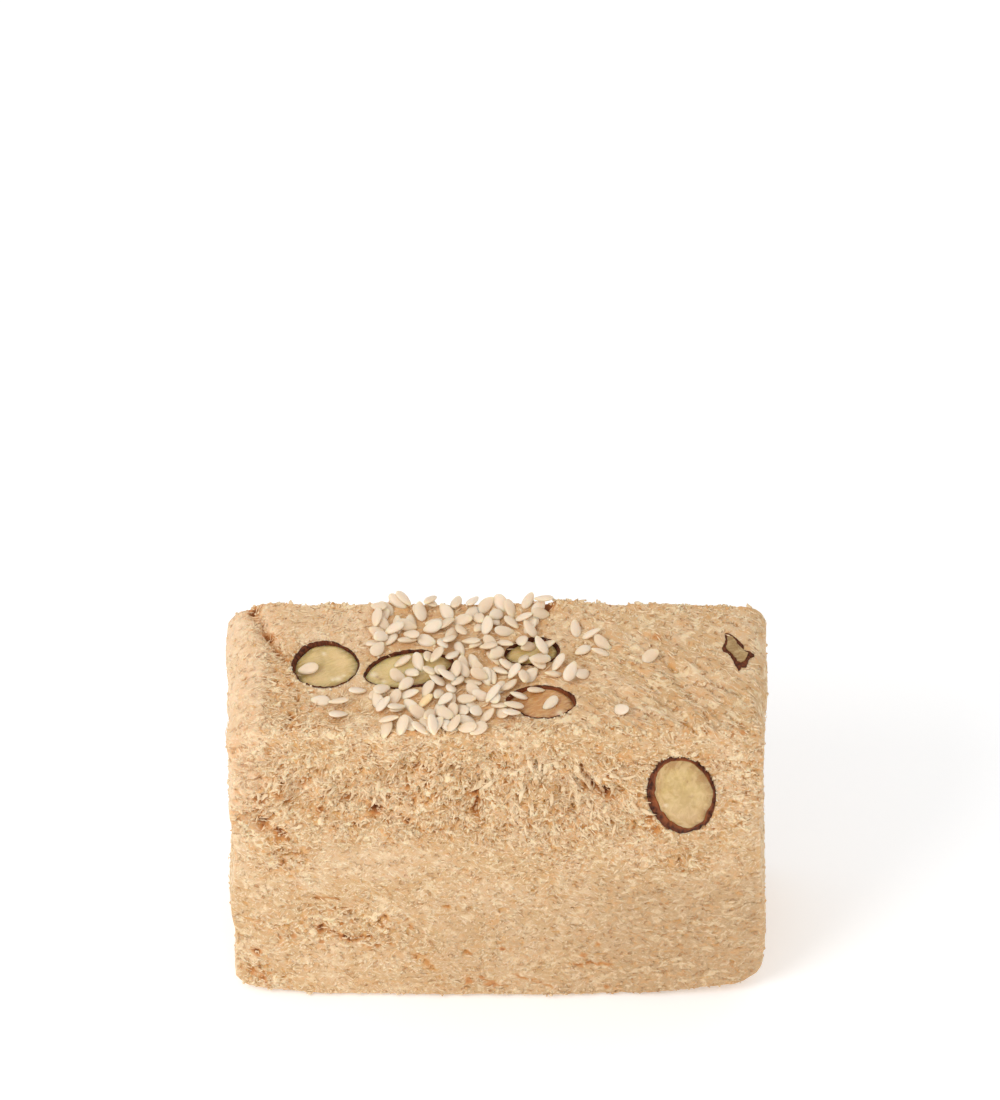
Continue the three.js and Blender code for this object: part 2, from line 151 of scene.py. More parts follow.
def strands(u, v, turn, length, width, salt):
    """Pulled fibres that run at an angle in degrees: 1 on a ridge."""
    cos, sin = math.cos(math.radians(turn)), math.sin(math.radians(turn))
    along = (u * cos + v * sin) / length
    across = (v * cos - u * sin) / width
    return 1 - 2 * np.abs(swirls(along, across + 0.7 * swirls(u / 5, v / 5, salt + 200), salt))


def draw_from(start):
    """Repeatable draws from 0 to 1."""
    state = start

    def draw():
        nonlocal state
        state = (state + 0x6D2B79F5) & 0xFFFFFFFF
        t = ((state ^ (state >> 15)) * (1 | state)) & 0xFFFFFFFF
        t = ((t + (t ^ (t >> 7)) * (61 | t)) & 0xFFFFFFFF) ^ t
        return (t ^ (t >> 14)) / 4294967296

    return draw


def distance_to_line(u, v, points):
    """From places to the nearest of the stretches between the points."""
    best = np.full(np.shape(u), np.inf)
    for (u0, v0), (u1, v1) in zip(points, points[1:]):
        along = ((u - u0) * (u1 - u0) + (v - v0) * (v1 - v0)) / ((u1 - u0) ** 2 + (v1 - v0) ** 2)
        t = np.clip(along, 0, 1)
        best = np.minimum(best, np.hypot(u - u0 - t * (u1 - u0), v - v0 - t * (v1 - v0)))
    return best


# ---- relief of each face, as millimetres pushed outwards ----

CREASE = [(-39.2, 13.5), (-36.6, 8.2), (-33.4, 3)]  # where the left lip was folded over
CREASE_DIP = (-36.6, 8.2)
LIP_EDGE = (-37.5, -34.5)

# Hollows torn out of the front face: x, z, radius, depth.
FRONT_HOLLOWS = [
    (-36.8, 41.5, 3.2, 1.3),
    (-31.5, 48.5, 3, 0.8),
    (-20.5, 44, 3.4, 0.9),
    (-12, 52.5, 2.8, 0.7),
    (-3.5, 44.5, 3.6, 0.9),
    (12.5, 47.5, 3.2, 1),
    (18, 46, 2.6, 1),
    (-12.5, 16, 3, 0.5),
]


def top_relief(x, y):
    lip = 0.6 * (1 - ramp(*LIP_EDGE, x))
    fold = distance_to_line(x, y, CREASE)
    crease = -1.1 * hill(fold, 1.5) - 0.5 * hill(np.hypot(x - CREASE_DIP[0], y - CREASE_DIP[1]), 2)
    across = (x - 27) * 0.83 + (y + 6) * 0.56
    ripple = 0.3 * np.sin(across * 1.25) * hill(np.hypot(x - 27, y + 5), 9)
    ragged = ramp(11, 14, y) * (0.35 + 0.55 * bumps(x / 3.2, 0.5, 7))
    crumbled = 0.35 * ramp(-12, -14, y) * bumps(x / 3, 0.5, 8)
    flake = 0.7 * hill(np.hypot((x - 10.5) / 3, (y - 13.2) / 1.6), 1)
    return lip + crease + ripple + ragged + crumbled + flake + 0.28 * bumps(x / 6.5, y / 6.5, 1)


def torn_band(x, z):
    """1 where the knife tore the front face instead of cutting it."""
    return ramp(33, 41, z) * ramp(58.5, 54, z) * (0.25 + 0.75 * ramp(24, 15, x))


def front_relief(x, z):
    belly = 1.1 * (1 - (x / HALF_WIDTH) ** 2) * ramp(60, 8, z)
    crags = torn_band(x, z) * (0.95 * bumps(x / 3.4, z / 2.9, 2) + 0.3)
    streaks = 0.3 * bumps(x / 9, z / 3.4, 3)
    skin = -0.9 * ramp(-37, -42, x) - 0.7 * ramp(38, 42, x)
    hollows = sum(-depth * hill(np.hypot(x - hx, z - hz), radius) for hx, hz, radius, depth in FRONT_HOLLOWS)
    return belly + crags + streaks + skin + hollows


def back_relief(x, z):
    crags = ramp(20, 34, z) * ramp(57, 50, z) * 0.6 * bumps(x / 3.6, z / 3.2, 4)
    return crags + 0.35 * bumps(x / 8, z / 4, 5) - 0.6 * ramp(37, 42, np.abs(x)) - 0.5


def side_relief(x, y, z):
    left = 0.4 * bumps(y / 8, z / 6, 11) - 0.9 * ramp(40, 8, z)
    right = 0.35 * bumps(y / 8, z / 7, 12) - 0.5 * hill(z - 38, 8) + 0.25 * hill(z - 14, 8)
    return np.where(x < 0, left, right)


def base_rise(x):
    """How far the base is worn up at its two ends."""
    return 1.9 * ramp(20, 42, x) + 1.1 * ramp(-27, -42, x)


# ---- crumb, pits and fibres, finer than the solids have them ----

# Crumbly patches of the front face: x, z, reach along, reach up, strength.
FRONT_CRUMBLE = [
    (-34.7, 43, 4.5, 12, 0.8),
    (-24.5, 16, 11.5, 4.2, 1),
    (29, 45, 10, 14, 0.6),
    (29.6, 30.8, 3, 2, 0.9),
    (9.2, 33.6, 3.5, 3.5, 0.8),
    (-36.8, 4, 5, 3.5, 0.8),
    (-32.7, 31.5, 3.5, 3, 0.8),
    (-14, 57, 30, 3.5, 0.5),
]

# Pits in the front face: x, z, radius, depth.
FRONT_PITS = [
    (-37.4, 45.8, 0.8, 1.1), (-37.5, 42.5, 0.7, 0.9), (-37.1, 39.7, 0.9, 1.5), (-36.9, 37.9, 0.6, 1),
    (-34.3, 46.9, 0.8, 0.8), (-29.9, 49.5, 0.7, 0.8), (-23.5, 45.8, 0.8, 1.3), (-19.4, 42.7, 0.8, 1.2),
    (-14.1, 40.4, 0.4, 0.7), (-34.1, 37.1, 0.8, 1), (-3.7, 46.6, 0.8, 1.4), (-27.9, 42.6, 0.5, 0.8),
    (-2.7, 44.4, 0.6, 1), (-25.1, 42.5, 0.45, 0.8), (-9.3, 46.9, 0.5, 0.9), (15.6, 47.8, 0.8, 1.5),
    (17.2, 45.9, 0.7, 1.3), (-18.7, 42.4, 0.5, 0.9), (-15, 37.9, 0.35, 0.5), (24.1, 41, 0.8, 0.9),
    (28.9, 31.5, 0.5, 0.7), (-28, 15.9, 0.6, 1), (-24.1, 13.8, 0.5, 0.8), (-18.9, 11.9, 0.4, 0.7),
    (-38.3, 9.8, 0.6, 0.7), (-39.2, 4.9, 0.6, 0.7), (-30.8, 48.2, 0.5, 0.7), (-17, 12.6, 0.4, 0.6),
    (24.9, 38.6, 0.8, 0.9), (15.3, 38.5, 0.3, 0.7), (-3.2, 42, 0.5, 0.8),
]

# Cracks in the front face: points as x and z, then half width and depth.
FRONT_CRACKS = [
    ([(-29.7, 23.3), (-27.4, 22.9), (-25.3, 23.2)], 0.28, 0.45),
    ([(-32.8, 24.8), (-30.2, 24.6)], 0.25, 0.4),
    ([(-26.6, 15), (-24.1, 13.6), (-20.2, 13.8)], 0.4, 0.55),
    ([(3.1, 5.6), (5.4, 4.2), (8.9, 2.3)], 0.25, 0.35),
    ([(12.5, 7.8), (14.8, 8.3), (18.3, 7.9)], 0.3, 0.28),
    ([(15.2, 48.6), (16.4, 46.9), (17.6, 45.1)], 0.55, 1.5),
    ([(-13.2, 52.5), (-11.8, 52.6), (-10.3, 52)], 0.45, 1.1),
    ([(-14.3, 51.1), (-14.1, 48.5), (-14.4, 46)], 0.28, 0.8),
    ([(-17.4, 49.7), (-16.3, 47.9)], 0.3, 0.9),
    ([(-12.9, 46.7), (-13.2, 44.5)], 0.35, 0.9),
    ([(-11.6, 49.5), (-10.2, 49.5)], 0.3, 0.9),
    ([(-8.2, 44.2), (-7.3, 46), (-6.7, 47.2)], 0.3, 0.8),
    ([(-4.8, 40.2), (-5.3, 38.5)], 0.35, 0.8),
    ([(-20.2, 51), (-18.6, 51.1), (-18, 50.5)], 0.25, 0.6),
    ([(1.1, 50.9), (2, 49.5)], 0.5, 0.8),
    ([(3, 47.4), (3.4, 46.7)], 0.4, 0.8),
    ([(8, 50.9), (9.4, 51.1)], 0.35, 0.9),
    ([(9.5, 49.5), (10.6, 49.7)], 0.4, 1),
    ([(13, 53.6), (13.8, 50.9), (14.5, 49.7)], 0.3, 0.9),
    ([(13.3, 48.8), (14.1, 47.4)], 0.35, 1),
    ([(-8.7, 20.6), (-8.2, 21.6), (-7.6, 20.8)], 0.25, 0.6),
    ([(-5.6, 10), (-5, 11), (-4.3, 10.2)], 0.25, 0.6),
    ([(1, 60.6), (7, 60.9), (14, 60.6), (22, 60.8)], 0.28, 0.22),
    ([(-13, 10.4), (-11.6, 8.6), (-10.3, 6.8)], 0.8, 0.5),
    ([(36, 7.5), (38.2, 6.1)], 0.3, 0.4),
]

# Curls of torn halva, each a groove round part of a circle: x, z, radius, half width, depth, the
# way its middle faces in degrees, and how far it reaches to either side of that.
FRONT_CURLS = [
    (11.3, 43, 0.75, 0.35, 1.1, -70, 150),
    (21.4, 38.8, 0.9, 0.3, 0.6, 110, 110),
    (-32.2, 31.3, 2, 0.25, 0.3, 0, 60),
    (-33.2, 31.6, 1.2, 0.3, 0.7, 100, 60),
    (-16.3, 16.7, 2.4, 0.35, 0.35, 20, 60),
    (-17.2, 16.7, 1.6, 0.35, 0.6, 150, 60),
    (-24.6, 18.6, 1.8, 0.3, 0.4, 80, 60),
    (-36.2, 4.2, 2.2, 0.25, 0.35, 0, 60),
    (-37.2, 4.6, 1.3, 0.3, 0.7, 100, 60),
]

# The same for the back face: its pits and its cracks.
BACK_PITS = [
    (-36, 46, 1, 1), (-33, 29, 0.8, 0.8), (-14, 45, 1.2, 1.2), (-9, 40, 0.9, 1), (-11.5, 34, 0.7, 0.8),
    (-3, 46.5, 1, 1.2), (2, 38, 1.2, 1.2), (8, 44, 0.8, 0.9), (14, 37, 1, 1), (20, 46, 0.9, 1),
    (26, 36, 1.1, 1.2), (31, 43, 0.8, 0.9), (36, 34, 0.9, 0.8), (-31, 14, 0.8, 0.9), (-18, 10, 0.7, 0.7),
    (-6, 22, 0.8, 0.9), (2, 9, 0.7, 0.7), (25, 13, 0.8, 0.9), (33, 22, 0.7, 0.8), (-12, 53, 0.8, 0.8),
    (-35, 41, 0.7, 0.8), (4.5, 49.5, 0.7, 0.8), (29, 27, 0.7, 0.7), (-1, 31, 0.8, 0.8), (24.5, 50, 0.9, 0.9),
]
BACK_CRACKS = [
    ([(-15.5, 42.5), (-12, 41), (-8.5, 41.8), (-5, 40.5)], 0.5, 1),
    ([(16.5, 42.5), (21, 41), (24.5, 41.8)], 0.5, 0.9),
    ([(-31, 21), (-26, 20), (-22.5, 20.8)], 0.4, 0.7),
    ([(21, 28), (25, 29.2), (30, 28.4)], 0.45, 0.8),
    ([(-6, 13), (-2, 12), (1, 12.6)], 0.4, 0.7),
    ([(-37, 36), (-34.6, 34.8)], 0.5, 0.8),
    ([(4.8, 34.5), (8, 33.6), (10, 34.4)], 0.45, 0.8),
    ([(33.5, 48.5), (36, 46.8)], 0.5, 0.8),
]

# Pits in the top: x, y, radius, depth.
TOP_PITS = [
    (-32.2, -10.6, 0.55, 0.9), (-32.4, -12.8, 0.5, 0.8), (-35.8, 7.8, 0.6, 0.9), (-38.4, 12.9, 0.9, 0.9),
    (-34.9, 4.6, 0.5, 0.8), (-33, 2.2, 0.5, 0.7), (-35.8, -5.1, 0.45, 0.6), (-39.6, -2.1, 0.35, 0.7),
    (8, 13.1, 0.9, 1.3), (22.8, 5.3, 0.3, 0.4), (10.2, 8.6, 0.3, 0.4),
]

# Grooves in the top: points as x and y, then half width and depth.
FOLD = [(-39, 13.5), (-37.2, 9.6), (-35.6, 6.2), (-33.4, 3)]
TOP_CREASES = [
    (FOLD, 0.5, 0.6),
    ([(25.5, 13.4), (32.4, 9.5)], 0.16, 0.22),
    ([(23.9, -6.2), (25.5, -7.6), (25.8, -8.8)], 0.4, 0.5),
    ([(29.9, -5.2), (31.2, -7.2)], 0.3, 0.4),
    ([(14.6, -9.2), (17.4, -12.2)], 0.25, 0.3),
]

# Brown spots of the top: x, y, radius, strength.
TOP_STAINS = [
    (25.2, 6.6, 0.8, 0.6), (38.6, -14, 0.6, 0.7), (36.8, -14.1, 0.45, 0.6), (-33.6, -7.6, 0.4, 0.5),
    (-31, -12, 0.5, 0.5),
]

# Brown stains of the front, some of them painted shade laid on its pits: x, z, radius, strength.
FRONT_STAINS_AND_PIT_SHADE = [
    (15.3, 38.5, 0.5, 1), (0.8, 11.7, 0.45, 1), (13.8, 10, 0.5, 0.8), (17.7, 2.3, 0.5, 0.9),
    (-2.3, 4.9, 0.45, 0.8), (9.7, 40.2, 0.7, 0.6), (-14.1, 40.4, 0.55, 0.9), (27, 21.5, 0.45, 0.6),
    (16.1, 12.6, 0.45, 0.6), (-4.5, 4.1, 0.65, 0.8), (-1.6, 3.3, 0.5, 0.6), (-33.8, 37.1, 0.9, 0.7),
    (38.5, 40, 0.5, 0.5), (-31, 40, 0.6, 0.5), (-21.6, 35.5, 0.5, 0.5), (20.3, 27.6, 0.5, 0.5),
    (31.3, 18.4, 0.5, 0.4), (35, 26, 0.6, 0.4), (-28, 16, 0.75, 1), (-34.7, 13.7, 0.4, 0.8),
    (-32.4, 13.9, 0.55, 0.7), (-28, 12.9, 0.5, 0.6), (-23.8, 13.5, 0.6, 1), (-18.1, 16.5, 0.5, 0.8),
    (-14.3, 17.8, 0.5, 0.6), (-13.7, 16, 0.5, 0.7), (-20.4, 11.5, 0.45, 0.7), (-38.5, 9.9, 0.8, 0.8),
    (-37.5, 3.9, 0.6, 0.9), (-33.6, 31.2, 0.55, 0.8), (-35, 30, 0.4, 0.6), (-23.1, 17.3, 0.5, 0.6),
]

# Brown streaks in the front, most of them painted shade along its cracks and curls: points as x and z, then
# half width and strength.
FRONT_STREAKS_AND_CRACK_SHADE = [
    ([(12.1, 8.1), (13.3, 7.8), (15.2, 8.3), (18.2, 8)], 0.33, 0.55),
    ([(2.5, 5.5), (5.3, 4.3), (9, 2.6)], 0.24, 0.35),
    ([(-1.2, 3.3), (0.9, 3.1)], 0.28, 0.8),
    ([(-29.6, 23.4), (-27.6, 23.2), (-25.5, 23.1)], 0.3, 0.4),
    ([(-26.5, 15.2), (-24, 13.6), (-20.5, 13.7)], 0.45, 0.45),
    ([(-26.9, 19.9), (-24.6, 20.3), (-23, 19.8)], 0.3, 0.5),
    ([(-34.2, 33), (-31.6, 33)], 0.28, 0.8),
    ([(-38.4, 5), (-36.3, 5)], 0.28, 0.8),
]

FAN_TOP = (2, 80)  # where the torn band's shreds would meet, as x and z
FAN_REACH = 36


def front_roughness(x, z):
    """0 where the knife left the halva smooth, 1 where it crumbled."""
    rough = 0.22 + 0.2 * bumps(x / 7, z / 4, 21) + torn_band(x, z)
    for cx, cz, along, up, strength in FRONT_CRUMBLE:
        rough = rough + strength * hill(np.hypot((x - cx) / along, (z - cz) / up), 1)
    return np.clip(rough, 0.08, 1)


def fanned(x, z):
    """Places in the torn band as millimetres along its fanned shreds and across them."""
    along = np.hypot(x - FAN_TOP[0], z - FAN_TOP[1])
    return along, FAN_REACH * np.arctan2(x - FAN_TOP[0], FAN_TOP[1] - z)


def wandering(x, z):
    """Places moved about a little, so that no pit is round and no crack is straight."""
    return x + 0.35 * swirls(x / 0.9, z / 0.9, 30), z + 0.45 * swirls(x / 1.1, z / 0.9, 35)


def pitted(x, z, pits, cracks, spread=1):
    """How deep a cut face is pitted and cracked. A spread over 1 reaches round the pits too."""
    frayed = 0.35 + 0.65 * ramp(-0.35, 0.3, swirls(x / 0.9, z / 0.8, 29))
    x, z = wandering(x, z)
    deep = sum(depth * hill(np.hypot(x - px, z - pz), spread * radius) for px, pz, radius, depth in pits)
    for points, half_width, depth in cracks:
        deep = deep + depth * frayed * hill(distance_to_line(x, z, points), spread * half_width)
    return deep


def front_curls(x, z):
    """How deep the grooves of those curls are, each with a low ridge inside it."""
    x, z = wandering(x, z)
    deep = 0
    for cx, cz, radius, half_width, depth, middle, reach in FRONT_CURLS:
        off = np.hypot(x - cx, z - cz) - radius
        turn = np.abs((np.degrees(np.arctan2(z - cz, x - cx)) - middle + 180) % 360 - 180)
        groove = hill(off, half_width) - 0.5 * hill(off + 2 * half_width, half_width)
        deep = deep + depth * groove * ramp(reach + 1, 0.7 * reach, turn)
    return deep


def front_stain(x, z):
    """How brown the front is: painted shade in its pits and cracks, and the stains between them."""
    # Painted shade in the pits and cracks, reaching a little round them.
    stain = 0.85 * pitted(x, z, FRONT_PITS, FRONT_CRACKS, 1.2)
    x, z = wandering(x, z)
    for px, pz, radius, strength in FRONT_STAINS_AND_PIT_SHADE:
        stain = stain + strength * hill(np.hypot(x - px, z - pz), radius)
    for points, half_width, strength in FRONT_STREAKS_AND_CRACK_SHADE:
        stain = stain + strength * hill(distance_to_line(x, z, points), half_width)
    return np.clip(stain, 0, 1)


def smooth_corner(x, z):
    """The smoother lower right of the front, which is painted darker: partly its own darker halva, partly
    painted shade where the light falls off.
    """
    return ramp(6, 24, x) * ramp(34, 22, z) * (0.8 + 0.2 * swirls(x / 6, z / 4, 62))


def tan_share(x, z):
    """How far the front is painted darker towards its foot and its lower right corner: partly its own darker
    halva, partly painted shade where the light falls off.
    """
    corner, foot = smooth_corner(x, z), 0.45 * ramp(-24, -4, x) * ramp(32, 14, z)
    return corner + foot * (1 - corner)


def front_detail(x, z):
    """Crumb and fine grain, shreds and gouges in the torn band, flat lenses lower down, and pits."""
    rough, torn = front_roughness(x, z), torn_band(x, z)
    bent_x, bent_z = x + 0.7 * swirls(x / 2.1, z / 2.1, 22), z + 0.7 * swirls(x / 2.1, z / 2.1, 23)
    crumb = 0.75 * rough * (lumps(bent_x / 1.7, bent_z / 1.35, 24) - 0.6)
    grain = (0.12 + 0.18 * rough) * swirls(x / 0.95, z / 0.75, 25)
    along, across = fanned(bent_x, bent_z)
    shreds = 0.3 * torn * strands(along, across, 0, 4, 1.2, 26)
    gouges = -torn * ramp(0.25, 0.85, swirls(along / 2.3, across / 1.2, 28))
    holes = -0.65 * rough * ramp(0.45, 0.85, swirls(x / 1.15, z / 0.95, 36))
    lenses = -0.3 * ramp(34, 24, z) * ramp(0.35, 0.75, swirls(bent_x / 1.7, z / 0.62, 63))
    layers = 0.07 * strands(x, z, 4, 6, 1.3, 27)
    pits = 0.9 * pitted(x, z, FRONT_PITS, FRONT_CRACKS) + front_curls(x, z)
    return crumb + grain + shreds + gouges + holes + lenses + layers - pits


def back_roughness(x, z):
    rough = 0.3 + 0.5 * bumps(x / 7, z / 5, 31) + 0.5 * ramp(20, 34, z) * ramp(57, 50, z)
    return np.clip(rough, 0.08, 1)


def back_detail(x, z):
    """The same, calmer, with no torn band."""
    rough = back_roughness(x, z)
    crumb = 0.5 * rough * (lumps(x / 1.9 + 0.4 * swirls(x / 2, z / 2, 32), z / 1.5, 33) - 0.6)
    holes = -0.8 * rough * ramp(0.35, 0.75, swirls(x / 1.7, z / 1.4, 37))
    layers = 0.12 * strands(x, z, 5, 7, 1.6, 56)
    grain = (0.1 + 0.12 * rough) * swirls(x / 1.1, z / 1, 34)
    return crumb + holes + layers + grain - pitted(x, z, BACK_PITS, BACK_CRACKS)


def top_crumble(x, y):
    """1 where the top is crumbly: left of the almonds, along the crease and at the front edge."""
    left = ramp(-38, -35.5, x) * ramp(-27, -31.5, x) * ramp(9, 2, y)
    crease = hill(distance_to_line(x, y, CREASE), 1.6)
    return np.clip(left + crease + 0.7 * ramp(-9, -14, y) + 0.5 * ramp(11.5, 14, y), 0, 1)


def top_detail(x, y):
    """Waves and fibres where the knife dragged the top, crumb where it broke, and level halva round
    the chip and under the seeds that lie alone."""
    dragged = ramp(6, 16, x) * (0.4 + 0.6 * ramp(8, 1, y))
    across = 0.8 * (
        y + 0.36 * x + 0.016 * np.clip(x - 8, 0, 20) ** 2 + 0.64 * np.clip(x - 28, 0, None)
    )
    waves = 0.48 * dragged * strands(x, across, 0, 8, 2.1, 41)
    drag_marks = 0.45 * ramp(0.1, 0.55, swirls(x / 3.6, across / 0.85, 47)) * dragged
    pulled = (0.1 + 0.09 * dragged) * strands(x, across, 0, 3.6, 0.62, 42)
    fibres = pulled + 0.06 * strands(x, y, 20, 2.6, 0.8, 43)
    for points, half_width, depth in TOP_CREASES:
        fibres = fibres - depth * hill(distance_to_line(x + 0.3 * swirls(y, x, 49), y, points), half_width)
    crumbly = (0.2 + top_crumble(x, y)) * (1 - 0.65 * np.clip(dragged, 0, 1))
    crumb = 0.5 * crumbly * (lumps(x / 1.4 + 0.3 * swirls(x, y, 46), y / 1.3, 44) - 0.6)
    holes = -0.7 * crumbly * ramp(0.3, 0.7, swirls(x / 1.1, y / 1.1, 48))
    pits = sum(-depth * hill(np.hypot(x - px, y - py), radius) for px, py, radius, depth in TOP_PITS)
    by_chip = ramp(3.8, 2.3, np.hypot(x - CHIP_AT[0], (y - CHIP_AT[1]) / 1.6))
    raised_lip = 0.7 * ramp(-36, -39, x) * ramp(3, 12, y)
    grain = 0.07 * swirls(x / 0.9, y / 0.9, 45)
    uneven = waves - drag_marks + fibres + crumb + holes + pits + raised_lip + grain
    by_seeds = sum(hill(np.hypot(x - px, y - py), 1.4) for px, py, _ in SINGLE_SEEDS)
    under_seeds = np.clip(by_seeds, 0, 1)
    uneven = uneven - under_seeds * (0.12 + np.clip(uneven, 0, None))
    return uneven * (1 - by_chip)


def side_detail(y, z):
    crumb = 0.14 * (lumps(y / 1.6, z / 1.4, 53) - 0.6)
    return crumb + 0.1 * strands(y, z, 80, 6, 1.2, 51) + 0.08 * swirls(y / 1.4, z / 1.4, 52)


def edge_waves(x, y, z):
    """Swells and notches of the left and right sides, which show in the slice's outline."""
    by_front = ramp(-7, -12, y)
    left = 0.75 * hill(z - 18, 8) + 0.3 * hill(z - 9, 3) + 0.6 * hill(z - 2.6, 1.6) - 0.25 * hill(z - 31, 5)
    left += (0.6 * hill(z - 56.3, 2) - 0.9 * hill(z - 5.2, 0.9)) * by_front
    left += 0.7 * ramp(51, 57, z) * ramp(-8, -3, y)
    right = 0.4 * hill(z - 17, 10) - 0.3 * hill(z - 39, 1.5) + 0.55 * ramp(51, 57, z) * ramp(-7, -2, y)
    return np.where(x < 0, left, right)


# ---- the slice's form ----

def slice_outline(x, z):
    """Bends the outline of the plain box, with its cut faces, into the slice's, which has round
    corners. Returns for each point the way outwards, its foot on the outline, and how far in it is."""
    up, side = np.where(z > HEIGHT / 2, 1, -1), np.where(x > 0, 1, -1)
    upper, left = up > 0, side < 0
    radius = np.where(
        upper,
        np.where(left, TOP_LEFT_RADIUS, TOP_RIGHT_RADIUS),
        np.where(left, BASE_LEFT_RADIUS, BASE_RIGHT_RADIUS),
    )
    a = (np.abs(x) - HALF_WIDTH) / radius + 1
    b = (np.abs(z - HEIGHT / 2) - HEIGHT / 2) / radius + 1
    corner = (a > 0) & (b > 0)
    reach = np.where(corner, np.hypot(a, b), 1)
    way_x = np.where(corner, a / reach, a > b) * side
    way_z = np.where(corner, b / reach, a <= b) * up
    inset = (1 - np.maximum(a, b)) * radius
    foot_x = np.where(corner, side * (HALF_WIDTH - radius) + way_x * radius, x + way_x * inset)
    foot_z = np.where(corner, HEIGHT / 2 + up * (HEIGHT / 2 - radius) + way_z * radius, z + way_z * inset)
    return way_x, way_z, foot_x, foot_z, inset


def shape_slice(box):
    """Gives points of the plain box the slice's shape. Returns them, their outward directions,
    and the fine relief that each has got."""
    way_x, way_z, foot_x, foot_z, inset = slice_outline(box[:, 0], box[:, 2])
    depth = HALF_THICKNESS - np.abs(box[:, 1])
    near_outline, near_face = np.clip(RIM - inset, 0, RIM), np.clip(RIM - depth, 0, RIM)
    reach = np.maximum(np.hypot(near_outline, near_face), TINY)
    flat, facing = near_outline / reach, near_face / reach
    inset = np.where(inset < RIM, RIM - RIM * flat, inset)
    depth = np.where(depth < RIM, RIM - RIM * facing, depth)
    place = np.column_stack([
        foot_x - way_x * inset, np.sign(box[:, 1]) * (HALF_THICKNESS - depth), foot_z - way_z * inset,
    ])
    outward = np.column_stack([way_x * flat, np.sign(box[:, 1]) * facing, way_z * flat])
    x, y, z = place.T.copy()
    ox, oy, oz = outward.T
    face = np.where(y < 0, front_relief(x, z), back_relief(x, z))
    face_detail = np.where(y < 0, front_detail(x, z), back_detail(x, z))
    flank_detail, upper_detail = side_detail(y, z) + edge_waves(x, y, z), top_detail(x, y)
    place[:, 0] += ox * np.abs(ox) * (side_relief(x, y, z) + flank_detail)
    place[:, 1] += oy * np.abs(oy) * (face + face_detail)
    place[:, 2] += np.where(oz > 0, oz**2 * (top_relief(x, y) + upper_detail), 0)
    place[:, 2] += base_rise(x) * ramp(16, 0, z)
    under = 0.16 * (1 - lumps(x / 1.8, y / 1.6, 61))
    place[:, 2] += np.where(oz < -0.9, under, 0)
    detail = ox**2 * flank_detail + oy**2 * face_detail + np.where(oz > 0, oz**2 * upper_detail, -under)
    return place, outward, detail


def top_height(x, y):
    return HEIGHT + top_relief(x, y)


# ---- almonds ----

DARK_SPECK = (0.30, 0.09, 0.03)
PALE_SPECK = (0.93, 0.84, 0.66)
